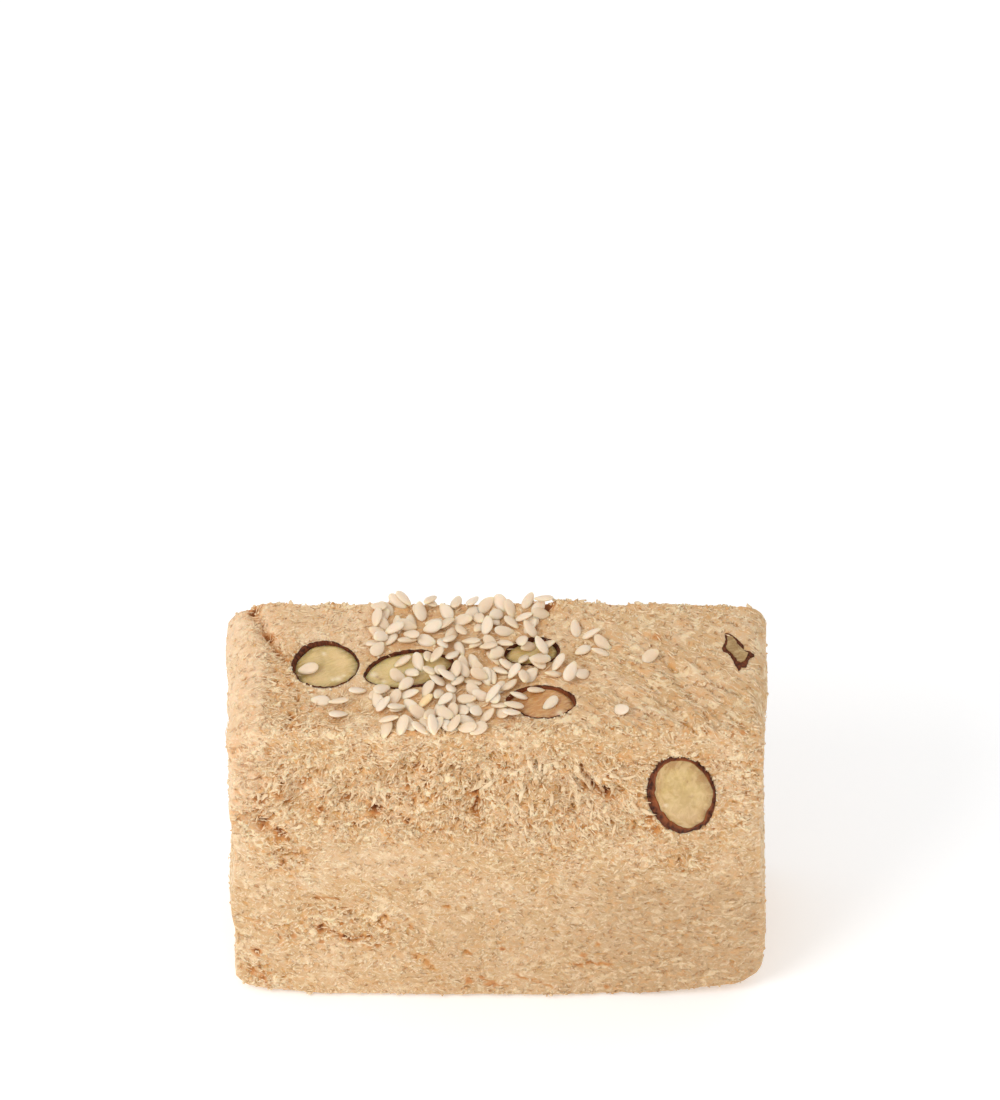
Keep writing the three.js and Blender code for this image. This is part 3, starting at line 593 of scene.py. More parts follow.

# Each almond is what the knife left: a flat cut face, and the rest of the nut sunk in the halva.
# at: middle of the cut face, on that face. turn: degrees about the face's own normal.
# point: 1 is a round end and more is a sharper one. egg: how much wider the left end is.
# proud: how far the rim of the cut face stands out of the halva.
# skin: its thickness round the nut, as pairs of an angle in degrees and millimetres.
# warmth: how red its inner side is.
# lean: how far the cut face rises towards its right, and falls towards its far end.
# hollow: a dip in the cut face: along it, across it, reach and depth.
# raise_by: how far the kernel stands above the plane of its rim, 0 where it isn't given.
# flesh, edge and foot: the kernel's colours in its middle, by its skin and towards its lower end,
# which is the flesh's where no foot is given.
# specks: spots on the cut face, along it, across it, radius and colour. One pale speck of the left almond is
# a painted highlight.
# The edge colour is also laid in the hollow's dip, as painted shade.
ALMONDS = [
    dict(
        name="almond_left", face="top", at=(-27, 0.8), size=(10.8, 10.2), depth=5,
        turn=-8, point=1.05, egg=0.08, proud=-0.35,
        skin=[(0, 0.3), (50, 0.3), (90, 0.5), (130, 0.8), (165, 0.9), (195, 0.55), (230, 0.42), (270, 0.42),
              (320, 0.36)],
        warmth=0.4, lean=(0.05, -0.02), raise_by=0.16, hollow=(-0.52, -0.15, 0.45, 0.6),
        flesh=(0.735, 0.525, 0.245), edge=(0.44, 0.305, 0.1), foot=(0.69, 0.48, 0.235),
        specks=[(2.4, -2.7, 0.45, PALE_SPECK), (1.6, -3, 0.3, PALE_SPECK), (3.2, -2, 0.25, PALE_SPECK),
                # The last pale speck here is a painted highlight, where the waxy cut face shines.
                (2.8, 2.7, 0.2, DARK_SPECK), (-0.6, 2.4, 0.3, PALE_SPECK)],
    ),
    dict(
        name="almond_middle", face="top", at=(-13.9, -0.2), size=(14.7, 8.4), depth=4.5,
        turn=14, point=1.35, egg=0, proud=-0.25,
        skin=[(0, 0.4), (90, 0.35), (180, 0.4), (215, 0.4), (250, 0.8), (285, 1.1), (330, 0.6)],
        warmth=0.6, lean=(0, 0), raise_by=0.12, hollow=(-0.1, 0.1, 0.5, 0.2),
        flesh=(0.755, 0.57, 0.265), edge=(0.51, 0.37, 0.135), foot=(0.75, 0.56, 0.285),
        specks=[(-5.2, -0.4, 0.25, DARK_SPECK), (-5.6, 0.3, 0.5, PALE_SPECK), (-4.7, -0.9, 0.3, DARK_SPECK),
                (-4.4, -1.6, 0.35, PALE_SPECK), (4.6, -1.6, 0.4, PALE_SPECK)],
    ),
    dict(
        name="almond_under_seeds", face="top", at=(5.5, 3.6), size=(9, 6), depth=3.5,
        turn=12, point=1.1, egg=-0.15, proud=-0.3, skin=[(0, 0.6), (90, 0.35), (180, 0.3), (270, 0.4)],
        warmth=0.2, lean=(0, 0.02), hollow=(0.3, 0, 0.4, 0.15),
        flesh=(0.67, 0.48, 0.19), edge=(0.45, 0.305, 0.1),
        specks=[(2.3, -0.1, 0.25, DARK_SPECK)],
    ),
    dict(
        name="almond_top_front", face="top", at=(6.9, -7.2), size=(11.2, 7.4), depth=3.5,
        turn=-6, point=1.25, egg=-0.1, proud=-0.2,
        skin=[(0, 0.42), (60, 0.3), (150, 0.5), (180, 0.7), (250, 0.2), (300, 0.26)],
        warmth=0.9, lean=(0, 0), hollow=(-0.5, 0.1, 0.45, 0.2),
        flesh=(0.59, 0.285, 0.10), edge=(0.473, 0.204, 0.068),
        specks=[(3.9, -1.1, 0.25, DARK_SPECK), (4.2, -0.3, 0.2, DARK_SPECK), (0.8, -2.9, 0.3, DARK_SPECK),
                (1.9, -2.8, 0.22, DARK_SPECK), (3.2, -1.9, 0.6, PALE_SPECK)],
    ),
    dict(
        name="almond_front", face="front", at=(29, 46.4), size=(10.9, 17.4), depth=5,
        turn=6, point=1.08, egg=0, proud=0.3,
        skin=[(0, 0.35), (40, 0.65), (75, 0.4), (110, 0.6), (145, 1.1), (180, 1.5), (210, 1.9), (240, 1.9),
              (262, 1.3), (290, 1.1), (315, 1.2), (340, 0.7)],
        warmth=0.9, lean=(0, 0), hollow=(0.1, -0.3, 0.6, 0.15),
        flesh=(0.605, 0.42, 0.158), edge=(0.46, 0.265, 0.095), foot=(0.655, 0.43, 0.245),
        specks=[(1.2, 3.4, 0.3, DARK_SPECK), (1.6, 0.2, 0.28, DARK_SPECK), (0.9, 4.6, 0.25, DARK_SPECK),
                (2.2, 4, 0.2, DARK_SPECK), (-2.6, -1.5, 0.35, PALE_SPECK)],
    ),
    dict(
        name="almond_back_broad", face="back", at=(-24, 35), size=(11.6, 15.8), depth=5,
        turn=-20, point=1.1, egg=0, proud=0.2, skin=[(0, 0.4), (90, 0.5), (200, 1.1), (270, 0.6)],
        warmth=0.9, lean=(0, 0), hollow=(0, 0.2, 0.5, 0.25),
        flesh=(0.725, 0.5, 0.213), edge=(0.6, 0.362, 0.125),
        specks=[(1.5, 2, 0.3, DARK_SPECK), (-2, -3, 0.3, PALE_SPECK)],
    ),
    dict(
        name="almond_back_slim", face="back", at=(13, 19), size=(6.4, 13.6), depth=3.6,
        turn=16, point=1.2, egg=0, proud=0.2, skin=[(0, 0.35), (80, 0.7), (180, 0.4), (270, 0.5)],
        warmth=0.9, lean=(0, 0), hollow=(0, 0, 0.5, 0.2),
        flesh=(0.7, 0.475, 0.2), edge=(0.575, 0.35, 0.125),
        specks=[(0.8, -1.5, 0.25, DARK_SPECK)],
    ),
]
ALMOND_DOME = 0.25  # how far a cut face rises to its middle
GAP = 0.3  # between a seed and the edge of the almond it lies on
PATCH_ALMOND = "almond_under_seeds"  # the one that the patch of seeds covers

# The star-shaped chip: where its middle is, and round that the outlines of its skin and its flesh.
CHIP_AT = (37.5, 3.45)
CHIP_OUTLINE = [
    (-1.4, 4), (-0.7, 3.75), (0, 2.95), (0.6, 2.2), (1.25, 1.4), (1.35, 0.6), (1.3, 0.25), (2.2, 0),
    (3, -0.6), (2.4, -1), (2, -2.2), (1.7, -3.3), (1, -3.2), (0.5, -4.2), (0.1, -3.2), (-0.3, -2.1),
    (-0.6, -1.2), (-1.25, -0.3), (-1.9, 0), (-2.05, 0.8), (-1.7, 1.5), (-1.45, 2.5), (-1.6, 3.35),
]
CHIP_FLESH = [
    (-1, 3.4), (-0.35, 3), (0.2, 2), (0.35, 0.9), (0.85, 0.1), (1.6, -0.15), (2.1, -0.4), (1.75, -1.2),
    (1.4, -2), (0.85, -2.35), (0.45, -2.1), (0.05, -1.35), (-0.4, -0.55), (-1.15, 0.35), (-1.45, 0.95),
    (-1.2, 1.9), (-1.15, 2.9),
]
CHIP_SKIN_REACH = (-2.2, 0.14)  # from its foot to its top, against the halva's surface
CHIP_FLESH_REACH = (-1.5, 0.26)
CHIP_TONE = (0.34, 0.195, 0.065)
CHIP_WARMTH = 0.42

# Each face's own directions: along it, up it and out of it.
FACES = {
    "top": np.array([(1, 0, 0), (0, 1, 0), (0, 0, 1)], float),
    "front": np.array([(1, 0, 0), (0, 0, 1), (0, -1, 0)], float),
    "back": np.array([(-1, 0, 0), (0, 0, 1), (0, 1, 0)], float),
}


def almond_anchor(almond):
    """The middle of the rim of its cut face."""
    (a, b), proud = almond["at"], almond["proud"]
    if almond["face"] == "top":
        return np.array([a, b, top_height(a, b).item() + proud])
    if almond["face"] == "front":
        return np.array([a, -HALF_THICKNESS - front_relief(a, b).item() - proud, b])
    return np.array([a, HALF_THICKNESS + back_relief(a, b).item() + proud, b])


def almond_axes(almond):
    """Along the almond, across it and out of its cut face."""
    along, up, out = FACES[almond["face"]]
    cos, sin = math.cos(math.radians(almond["turn"])), math.sin(math.radians(almond["turn"]))
    return np.array([along * cos + up * sin, up * cos - along * sin, out])


def almond_outline(angle, almond):
    """How far the outline reaches at an angle, as shares of half the length and half the width."""
    u = np.cos(angle)
    v = np.sign(np.sin(angle)) * np.abs(np.sin(angle)) ** almond["point"] * (1 - almond["egg"] * u)
    return u, v


def outline_share(u, v, almond):
    """How far a place lies inside the outline: 1 is on it, less is inside."""
    u_edge, v_edge = almond_outline(np.linspace(-math.pi, math.pi, 721), almond)
    around = np.unwrap(np.arctan2(v_edge, u_edge))
    reach = np.interp(np.arctan2(v, u), around, np.hypot(u_edge, v_edge))
    return np.hypot(u, v) / reach


def press_pockets(place, outward):
    """Sinks the halva under each almond, with the pocket's edge along the nut's outline."""
    for almond in ALMONDS:
        anchor, axes = almond_anchor(almond), almond_axes(almond)
        half = np.array(almond["size"]) / 2
        local = (place - anchor) @ axes.T
        near = (np.abs(local[:, 0]) < half[0] + POCKET_RIM) & (np.abs(local[:, 1]) < half[1] + POCKET_RIM)
        near &= (outward @ axes[2] > 0.3) & (np.abs(local[:, 2]) < POCKET_REACH)
        spot = local[near]
        share = outline_share(spot[:, 0] / half[0], spot[:, 1] / half[1], almond)
        margin = POCKET_EDGE / half.min()
        edge = np.abs(share - 1) < margin
        spot[edge, :2] /= share[edge, None]
        inside = share <= 1 - margin
        bowl = (almond["depth"] + POCKET_ROOM) * np.sqrt(1 - share[inside] ** 2)
        spot[inside, 2] = -bowl - POCKET_DROP
        place[near] = spot @ axes + anchor


# ---- meshes ----

def piece_from(name, points, faces, material, smooth=True, **tones):
    """A finished piece from points in millimetres. Each tone is a value or a colour for each point."""
    mesh = bpy.data.meshes.new(name)
    mesh.from_pydata((np.asarray(points) * MM).tolist(), [], faces)
    for tone, values in tones.items():
        values = np.asarray(values, np.float32)
        kind, key = ("FLOAT", "value") if values.ndim == 1 else ("FLOAT_COLOR", "color")
        if values.ndim == 2:
            values = np.column_stack([values, np.ones(len(values), np.float32)])
        mesh.attributes.new(tone, kind, "POINT").data.foreach_set(key, values.ravel())
    mesh.polygons.foreach_set("use_smooth", np.full(len(mesh.polygons), smooth))
    mesh.materials.append(material)
    piece = bpy.data.objects.new(name, mesh)
    bpy.context.scene.collection.objects.link(piece)
    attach(piece, "root")
    return piece


def taken_from(bm):
    """The points and faces of a bmesh, which is then freed."""
    bm.verts.index_update()
    points = np.array([v.co[:] for v in bm.verts])
    faces = [[v.index for v in f.verts] for f in bm.faces]
    bm.free()
    return points, faces


def block():
    """The plain box, cut into cells, and finer on its front and top."""
    bm = bmesh.new()
    bmesh.ops.create_cube(bm, size=1)
    size = (WIDTH, THICKNESS, HEIGHT)
    bmesh.ops.scale(bm, vec=size, verts=bm.verts)
    bmesh.ops.translate(bm, vec=(0, 0, HEIGHT / 2), verts=bm.verts)
    for axis in range(3):
        runs = [e for e in bm.edges if abs(e.verts[0].co[axis] - e.verts[1].co[axis]) > NEAR]
        bmesh.ops.subdivide_edges(bm, edges=runs, cuts=round(size[axis] / BODY_CELL) - 1)
    front, top = NEAR - HALF_THICKNESS, HEIGHT - NEAR
    fine = [
        e for e in bm.edges
        if all(v.co.y < front for v in e.verts) or all(v.co.z > top for v in e.verts)
    ]
    bmesh.ops.subdivide_edges(bm, edges=fine, cuts=1, use_grid_fill=True, use_single_edge=True)
    return taken_from(bm)


def halva_body(material):
    """The block itself, with tones that say how each place of it looks."""
    box, faces = block()
    place, outward, detail = shape_slice(box)
    press_pockets(place, outward)
    x, y, z = place.T
    # The left lip and the top's back left corner are painted paler: partly their own paler halva, partly
    # painted light where the key light falls.
    back_corner = 0.5 * ramp(-12, -24, x) * ramp(-1, 7, y) * ramp(55, 60, z)
    lip = np.clip(ramp(-34, -38.5, x) * ramp(30, 50, z) + back_corner, 0, 1)
    rough = np.where(outward[:, 1] < -0.5, front_roughness(x, z), 0.35)
    rough = np.where(outward[:, 1] > 0.5, back_roughness(x, z), rough)
    rough = np.where(outward[:, 2] > 0.5, 0.45 + 0.55 * top_crumble(x, y), rough)
    # How far a place lies below the slice's smooth form; the finish paints shade into the colour there.
    hollow = np.clip((-detail - 0.1) / 0.9, 0, 1)
    forward, backward = np.clip(-outward[:, 1], 0, 1), np.clip(outward[:, 1], 0, 1)
    upward = np.clip(outward[:, 2], 0, 1)
    # Painted darker towards the foot and lower right: the halva's own darker tone and painted shade of the
    # light's fall-off.
    tan = tan_share(x, z) * forward
    # Painted shade in the top's pits, with its brown stains.
    pits = sum(depth * hill(np.hypot(x - px, y - py), 1.2 * radius)
               for px, py, radius, depth in (*TOP_PITS, *TOP_STAINS))
    # Painted shade along the fold of the left lip.
    fold = 0.35 * hill(distance_to_line(x, y, FOLD), 0.7) * ramp(-0.5, 0.5, swirls(x, y, 39))
    # Painted shade in the back's pits and cracks.
    behind = np.clip(0.85 * pitted(x, z, BACK_PITS, BACK_CRACKS, 1.2), 0, 1)
    # Brown stains, and painted shade in the pits, cracks and fold.
    stain = front_stain(x, z) * forward + behind * backward + np.clip(pits + fold, 0, 1) * upward
    dragged = ramp(6, 16, x) * ramp(12, 4, y) * upward * (z > HEIGHT / 2)
    # Painted shadow on the halva under the patch of seeds.
    in_patch = ramp(-1.2, 0.8, x - patch_left(y)) * ramp(-1.2, 0.8, patch_right(y) - x)
    seeded = in_patch * upward * (z > HEIGHT / 2)
    body = piece_from(
        "halva_body", place, faces, material,
        hollow=hollow, lip=lip, rough=rough, tan=tan, stain=stain, seeded=seeded, dragged=dragged,
    )
    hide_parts("halva")
    return body


# ---- almonds: kernels and skins ----

KERNEL_AROUND, KERNEL_ACROSS = 72, 36  # faces round a kernel, and from pole to pole
RING_AROUND, RING_ACROSS = 160, 18  # faces round the almond, and round the skin's section
SKIN_OUT, SKIN_IN = 0.04, 0.02  # how far a skin goes into the halva, and into its kernel
SKIN_DROP = 0.9  # from the plane of the almond's rim down to where the skin is widest
SKIN_FOOT = 0.7  # and how far it goes on below that


def skin_thickness(angle, almond):
    """How thick the skin is at an angle round the almond, unevenly."""
    degrees, sizes = zip(*almond["skin"])
    turns = np.degrees(angle)[..., None] + np.linspace(-24, 24, 7)
    u, v = np.cos(angle), np.sin(angle)
    ragged = 1 + 0.32 * swirls(3.1 * u + 7, 3.1 * v + sizes[0] * 9, 71)
    return np.interp(turns, degrees, sizes, period=360).mean(-1) * ragged + 0.07 * swirls(9 * u, 9 * v, 70)


def outline_point(angle, almond, inset):
    """A place in millimetres on the outline, or that far inside it."""
    u, v = almond_outline(angle, almond)
    a, b = u * almond["size"][0] / 2, v * almond["size"][1] / 2
    keep = 1 - inset / np.hypot(a, b)
    return a * keep, b * keep


def cut_face_height(a, b, share, almond):
    """The kernel's cut face over the plane of the almond's rim."""
    hollow_a, hollow_b, hollow_reach, hollow_depth = almond["hollow"]
    length, width = almond["size"]
    far = np.hypot(2 * a / length - hollow_a, (2 * b / width - hollow_b) * width / length)
    hollow = -hollow_depth * hill(far, hollow_reach)
    lean = almond["lean"][0] * a - almond["lean"][1] * b
    knife = 0.035 * swirls(a / 2.2, b / 0.9, 72) + 0.02 * swirls(a / 0.6, b / 0.6, 73)
    worn_edge = -0.22 * ramp(0.86, 1, share)
    dome = ALMOND_DOME * np.sqrt(np.clip(1 - share**2, 0, 1))
    return dome + almond.get("raise_by", 0) + hollow + lean + knife + worn_edge


def kernel(almond, material):
    """The nut's pale inside: a flat cut face over a bowl."""
    bm = bmesh.new()
    bmesh.ops.create_uvsphere(bm, u_segments=KERNEL_AROUND, v_segments=KERNEL_ACROSS, radius=1)
    points, faces = taken_from(bm)
    x, y, z = points.T
    share, angle = np.hypot(x, y), np.arctan2(y, x)
    a, b = outline_point(angle, almond, skin_thickness(angle, almond))
    a, b = a * share, b * share
    face = cut_face_height(a, b, share, almond)
    rim = cut_face_height(a, b, 1, almond)
    height = np.where(z > -0.01, face, rim + z * (almond["depth"] - 0.4))
    place = np.column_stack([a, b, height]) @ almond_axes(almond) + almond_anchor(almond)
    flesh, edge = np.array(almond["flesh"]), np.array(almond["edge"])
    dip_a, dip_b, dip_reach, dip_depth = almond["hollow"]
    length, width = almond["size"]
    # Painted shade in the cut face's dip: the edge colour, more of it for a deeper dip.
    dip_shade = hill(np.hypot(2 * a / length - dip_a, 2 * b / width - dip_b), 1.5 * dip_reach)
    blotch = 0.35 * swirls(a / 2.4 + 9, b / 2.4, 74) + 0.2 * swirls(a / 0.8, b / 0.8, 75)
    inner = ramp(1.0, 0.6, share) * (1 - min(1.4 * dip_depth, 0.9) * dip_shade)
    middle = np.clip(inner + blotch, 0, 1)[:, None]
    tone = edge + (flesh - edge) * middle
    foot = 0.75 * ramp(0.2, -0.9, 2 * b / width)[:, None] * middle
    tone += (np.array(almond.get("foot", flesh)) - tone) * foot
    for speck_a, speck_b, radius, colour in almond["specks"]:
        tone += (colour - tone) * 0.7 * hill(np.hypot(a - speck_a, b - speck_b), radius)[:, None]
    piece = piece_from(almond["name"] + "_kernel", place, faces, material, flesh=tone)
    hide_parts(almond["name"])


def closed_ring(around, across):
    """A ring's faces, with each point's angle round the ring and round its section."""
    bm = bmesh.new()
    bmesh.ops.create_grid(bm, x_segments=around, y_segments=across, size=1)
    for v in bm.verts:
        turn, roll = math.pi * v.co.x, math.pi * v.co.y
        reach = 2 + math.cos(roll)
        v.co = (reach * math.cos(turn), reach * math.sin(turn), math.sin(roll))
    bmesh.ops.remove_doubles(bm, verts=bm.verts, dist=1e-4)
    bmesh.ops.recalc_face_normals(bm, faces=bm.faces)
    points, faces = taken_from(bm)
    x, y, z = points.T
    return np.arctan2(y, x), np.arctan2(z, np.hypot(x, y) - 2), faces


def surface_over(place, almond):
    """How far the halva's own surface stands over the plane of the almond's rim."""
    axes, anchor = almond_axes(almond), almond_anchor(almond)
    x, y, z = (place @ axes + anchor).T
    if almond["face"] == "top":
        return top_height(x, y) + top_detail(x, y) - anchor[2]
    if almond["face"] == "front":
        return HALF_THICKNESS + front_relief(x, z) + front_detail(x, z) + anchor[1]
    return HALF_THICKNESS + back_relief(x, z) + back_detail(x, z) - anchor[1]


def skin_ring(almond, material):
    """The nut's skin: a ring of uneven thickness between the halva and the kernel."""
    turn, roll, faces = closed_ring(RING_AROUND, RING_ACROSS)
    across = np.sign(np.cos(roll)) * np.abs(np.cos(roll)) ** 0.6
    up = np.sign(np.sin(roll)) * np.abs(np.sin(roll)) ** 0.3
    thick, inner = skin_thickness(turn, almond), 0.5 - 0.5 * across
    inset = -SKIN_OUT + (thick + (SKIN_OUT + SKIN_IN)) * inner
    a, b = outline_point(turn, almond, inset)
    edge_a, edge_b = outline_point(turn, almond, 0)
    shore = surface_over(np.column_stack([edge_a, edge_b, 0 * edge_a]), almond)
    kernel_rim = cut_face_height(*outline_point(turn, almond, thick), 1, almond)
    wrinkles = 0.14 * swirls(edge_a / 0.8, edge_b / 0.8 + inset, 76) + 0.07 * swirls(a / 0.3, b / 0.3, 77)
    folds = 0.16 * np.clip(thick - 0.4, 0, 1) * strands(a, b, 70, 2.2, 0.8, 69)
    brim = shore + 0.04 + 0.18 * (almond["face"] == "top") * np.clip(-np.sin(turn), 0, 1)
    crest = brim + (kernel_rim + 0.08 - brim) * ramp(0.4, 1, inner) + wrinkles + folds
    height = -SKIN_DROP + np.where(up > 0, crest + SKIN_DROP, SKIN_FOOT) * up
    place = np.column_stack([a, b, height]) @ almond_axes(almond) + almond_anchor(almond)
    warmth = np.clip(inner * almond["warmth"] + 0.4 * swirls(edge_a / 1.5, edge_b / 1.5, 78), 0, 1)
    piece = piece_from(almond["name"] + "_skin", place, faces, material, warmth=warmth)
    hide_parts(almond["name"])


def chip_part(name, outline, reach, material, slot, **tones):
    """A prism on a ragged outline, domed a little on top, about level with the halva round it."""
    low, high = reach
    bm = bmesh.new()
    base = bm.faces.new([bm.verts.new((x, y, low)) for x, y in outline])
    bmesh.ops.subdivide_edges(bm, edges=bm.edges, cuts=3)
    raised = bmesh.ops.extrude_face_region(bm, geom=[base])["geom"]
    top = next(g for g in raised if isinstance(g, bmesh.types.BMFace))
    bmesh.ops.translate(bm, vec=(0, 0, high - low), verts=top.verts)
    for step, rise in ((0.07, 0.05), (0.1, 0.03)):
        bmesh.ops.inset_region(bm, faces=[top], thickness=step, depth=rise, use_even_offset=False)
    bmesh.ops.recalc_face_normals(bm, faces=bm.faces)
    points, faces = taken_from(bm)
    x, y, z = points.T
    points[:, 2] += 0.03 * swirls(x / 0.7, y / 0.7, 79) * (z > high - 0.1)
    points[:, :2] += 0.12 * np.column_stack([swirls(x / 0.5, y / 0.5, 80), swirls(x / 0.5, y / 0.5, 81)])
    points[:, :2] += CHIP_AT
    points[:, 2] += top_height(points[:, 0], points[:, 1])
    shade = 1 + 0.25 * swirls(x / 1.2, y / 1.2, 82)
    tones = {tone: np.multiply.outer(shade, value) for tone, value in tones.items()}
    piece = piece_from(name, points, faces, material, smooth=False, **tones)
    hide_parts("almond_chip")


# ---- sesame ----

# The patch of seeds runs from the back edge to the front one, between these two sides.
PATCH_FRONT = -13.7
PATCH_BACK = 14


def patch_left(y):
    return -19.4 + 2 * ramp(-6, -13, y)


def patch_right(y):
    return 7.5 + 3.5 * hill(y, 3.5) - 4.5 * ramp(-2, -5, y) - 3.5 * ramp(-8, -13.5, y)


# Seeds set down one by one, on the almonds and beside the patch: x, y, heading in degrees. One that
# touches both an almond and the halva isn't laid, as in the solids.
SINGLE_SEEDS = [
    (-29.7, -0.3, 172), (-27.7, -7.1, 175), (-24.9, -7.9, 168), (-24.9, -10.3, 25), (-21.9, -5.3, 20),
    (-14.9, 1.2, 210), (-12.4, 0.9, 290), (-10.8, 2.2, 265), (-9.5, 1.6, 235), (-15.6, -2, 335),
    (-13.3, -1.2, 315), (8.4, -7.6, 225), (5.4, -10.6, 15),
    (12.4, 8.4, 95), (14.9, 7.3, 20), (16.6, 5.1, 325), (16.3, 3.2, 170), (13.5, 4, 215),
    (24.1, 2.1, 30), (19.4, -9.5, 130), (13.5, -1.6, 50), (11.6, -2.1, 60),
]

# Places for seeds that lie across an almond's edge, which the solids leave out. A seed that would
# pile up too high on the others isn't laid.
STRADDLING_SEEDS = [
    (-7.6, 1.2, 30), (-10.8, -4.2, 120), (-7.9, -2.9, 155), (-19.2, -5.2, 175), (-5.9, 1.9, 20),
    (4.2, 6.4, 15), (2.4, 3.6, 80), (6.3, 6.1, 85), (6.9, 0.5, 20), (1.6, 1.4, 100),
    (6.1, -4.9, 20), (3.4, -6.1, 175), (2.9, -8.6, 5), (2.3, -10.9, 15),
]

CELL = 0.25  # of the net of heights, which reaches past the slice on each side
NET_WIDTH, NET_DEPTH = WIDTH + 4, THICKNESS + 4
NET_COLUMNS, NET_ROWS = round(NET_WIDTH / CELL), round(NET_DEPTH / CELL)
KEEP_OFF = 0.5  # how far round an almond no seed of the halva lies
CHIP_KEEP_OFF = 4.5
HALVA = -1  # owners of cells: an almond's place in the list, the halva, or nobody
NOBODY = -2


class SeedBed:
    """Heights of all that a seed can lie on, and whose they are, over a fine net of cells."""

    def __init__(self):
        self.x = (np.arange(NET_COLUMNS) + 0.5) * CELL - NET_WIDTH / 2
        self.y = (np.arange(NET_ROWS) + 0.5) * CELL - NET_DEPTH / 2
        x, y = np.meshgrid(self.x, self.y)
        self.height = top_height(x, y)
        self.owner = np.full(x.shape, HALVA)
        for index, almond in enumerate(ALMONDS):
            if almond["face"] == "top":
                near = self.share(x, y, almond, KEEP_OFF) < 1
                inside = self.share(x, y, almond, -GAP / 2) < 1
                self.owner[near & ~inside] = NOBODY
                self.owner[inside] = index
                self.height[inside] = almond_anchor(almond)[2] + ALMOND_DOME / 2
        self.owner[np.hypot(x - CHIP_AT[0], y - CHIP_AT[1]) < CHIP_KEEP_OFF] = NOBODY

    @staticmethod
    def share(x, y, almond, grow):
        """How far inside an almond's outline a place is, as the solids reckon it."""
        turn = math.radians(almond["turn"])
        dx, dy = x - almond["at"][0], y - almond["at"][1]
        u = (dx * math.cos(turn) + dy * math.sin(turn)) / (almond["size"][0] / 2 + grow)
        v = (dy * math.cos(turn) - dx * math.sin(turn)) / (almond["size"][1] / 2 + grow)
        return np.hypot(u, v) / np.hypot(*almond_outline(np.arctan2(v, u), almond))

    def under(self, seed):
        """The cells under a seed: which, how far along and across it, and its half depth there."""
        reach = seed["length"] / 2
        first, last = (math.floor((seed["y"] + s * reach + NET_DEPTH / 2) / CELL) for s in (-1, 1))
        start, stop = (math.floor((seed["x"] + s * reach + NET_WIDTH / 2) / CELL) for s in (-1, 1))
        rows, columns = np.mgrid[first:last + 1, start:stop + 1]
        dx, dy = self.x[columns] - seed["x"], self.y[rows] - seed["y"]
        cos, sin = math.cos(seed["heading"]), math.sin(seed["heading"])
        along, across = dx * cos + dy * sin, dy * cos - dx * sin
        share = (along / reach) ** 2 + (across / (seed["width"] / 2)) ** 2
        kept = share < 1
        half = seed["depth"] / 2 * np.sqrt(1 - share[kept])
        return (rows[kept], columns[kept]), along[kept], across[kept], half

    def settle(self, seed):
        """Lets a seed down until it touches, tilted to what is under it."""
        cells, along, across, half = self.under(seed)
        ground = self.height[cells]
        tilt = [
            np.clip(SEED_YIELD * (way * ground).sum() / (way**2).sum(), -SEED_MAX_TILT, SEED_MAX_TILT)
            for way in (along, across)
        ]
        lean = tilt[0] * along + tilt[1] * across
        z = (ground - lean + half).max()
        touched = np.unique(self.owner[cells][z + lean - half - ground <= SEED_TOUCH])
        owner = touched[0] if len(touched) == 1 else NOBODY
        lift = z - top_height(seed["x"], seed["y"]).item()
        crown = z - SEED_SINK + lean + half
        return dict(seed, z=z - SEED_SINK, tilt=tilt, owner=owner, lift=lift, cells=cells, crown=crown)

    def lay(self, seed):
        """Raises the net to the top of a seed that stays where it is."""
        cells, crown = seed["cells"], seed["crown"]
        higher = crown > self.height[cells]
        self.height[cells] = np.where(higher, crown, self.height[cells])
        self.owner[cells] = np.where(higher, seed["owner"], self.owner[cells])
        return seed


def drawn_seed(draw, x, y, heading):
    length, width, depth = (
        size * (1 + SEED_SPREAD * (2 * draw() - 1)) for size in (SEED_LENGTH, SEED_WIDTH, SEED_DEPTH)
    )
    return dict(x=x, y=y, heading=heading, length=length, width=width, depth=depth)


def laid_seeds():
    """The seeds of the solids, by the same draws, and then those across the almonds' edges."""
    bed, draw, laid = SeedBed(), draw_from(SEED_DRAWS), []
    for x, y, degrees in SINGLE_SEEDS:
        seed = bed.settle(drawn_seed(draw, x, y, math.radians(degrees)))
        if seed["owner"] != NOBODY:
            laid.append(bed.lay(seed))
    patch = [index for index, almond in enumerate(ALMONDS) if almond["name"] == PATCH_ALMOND]
    for _ in range(PATCH_SEEDS + FILL_SEEDS):
        best = None
        for _ in range(PATCH_TRIES):
            y = PATCH_FRONT + (PATCH_BACK - PATCH_FRONT) * draw()
            left, right = patch_left(y), patch_right(y)
            x = left + (right - left) * draw()
            seed = bed.settle(drawn_seed(draw, x, y, 2 * math.pi * draw()))
            takes = seed["owner"] in (HALVA, *patch)
            if takes and (best is None or seed["lift"] < best["lift"]):
                best = seed
        if best:
            laid.append(bed.lay(best))
    for x, y, degrees in STRADDLING_SEEDS:
        seed = bed.settle(drawn_seed(draw, x, y, math.radians(degrees)))
        if seed["lift"] < SEED_PILE:
            laid.append(bed.lay(seed))
    return laid


def seed_form():
    """A ball 2 across whose poles lie along X, to be drawn out into seeds."""
    bm = bmesh.new()
    bmesh.ops.create_uvsphere(bm, u_segments=SEED_AROUND, v_segments=SEED_ALONG, radius=1)
    points, faces = taken_from(bm)
    across, deep, along = points.T
    return np.column_stack([along, across, deep]), faces


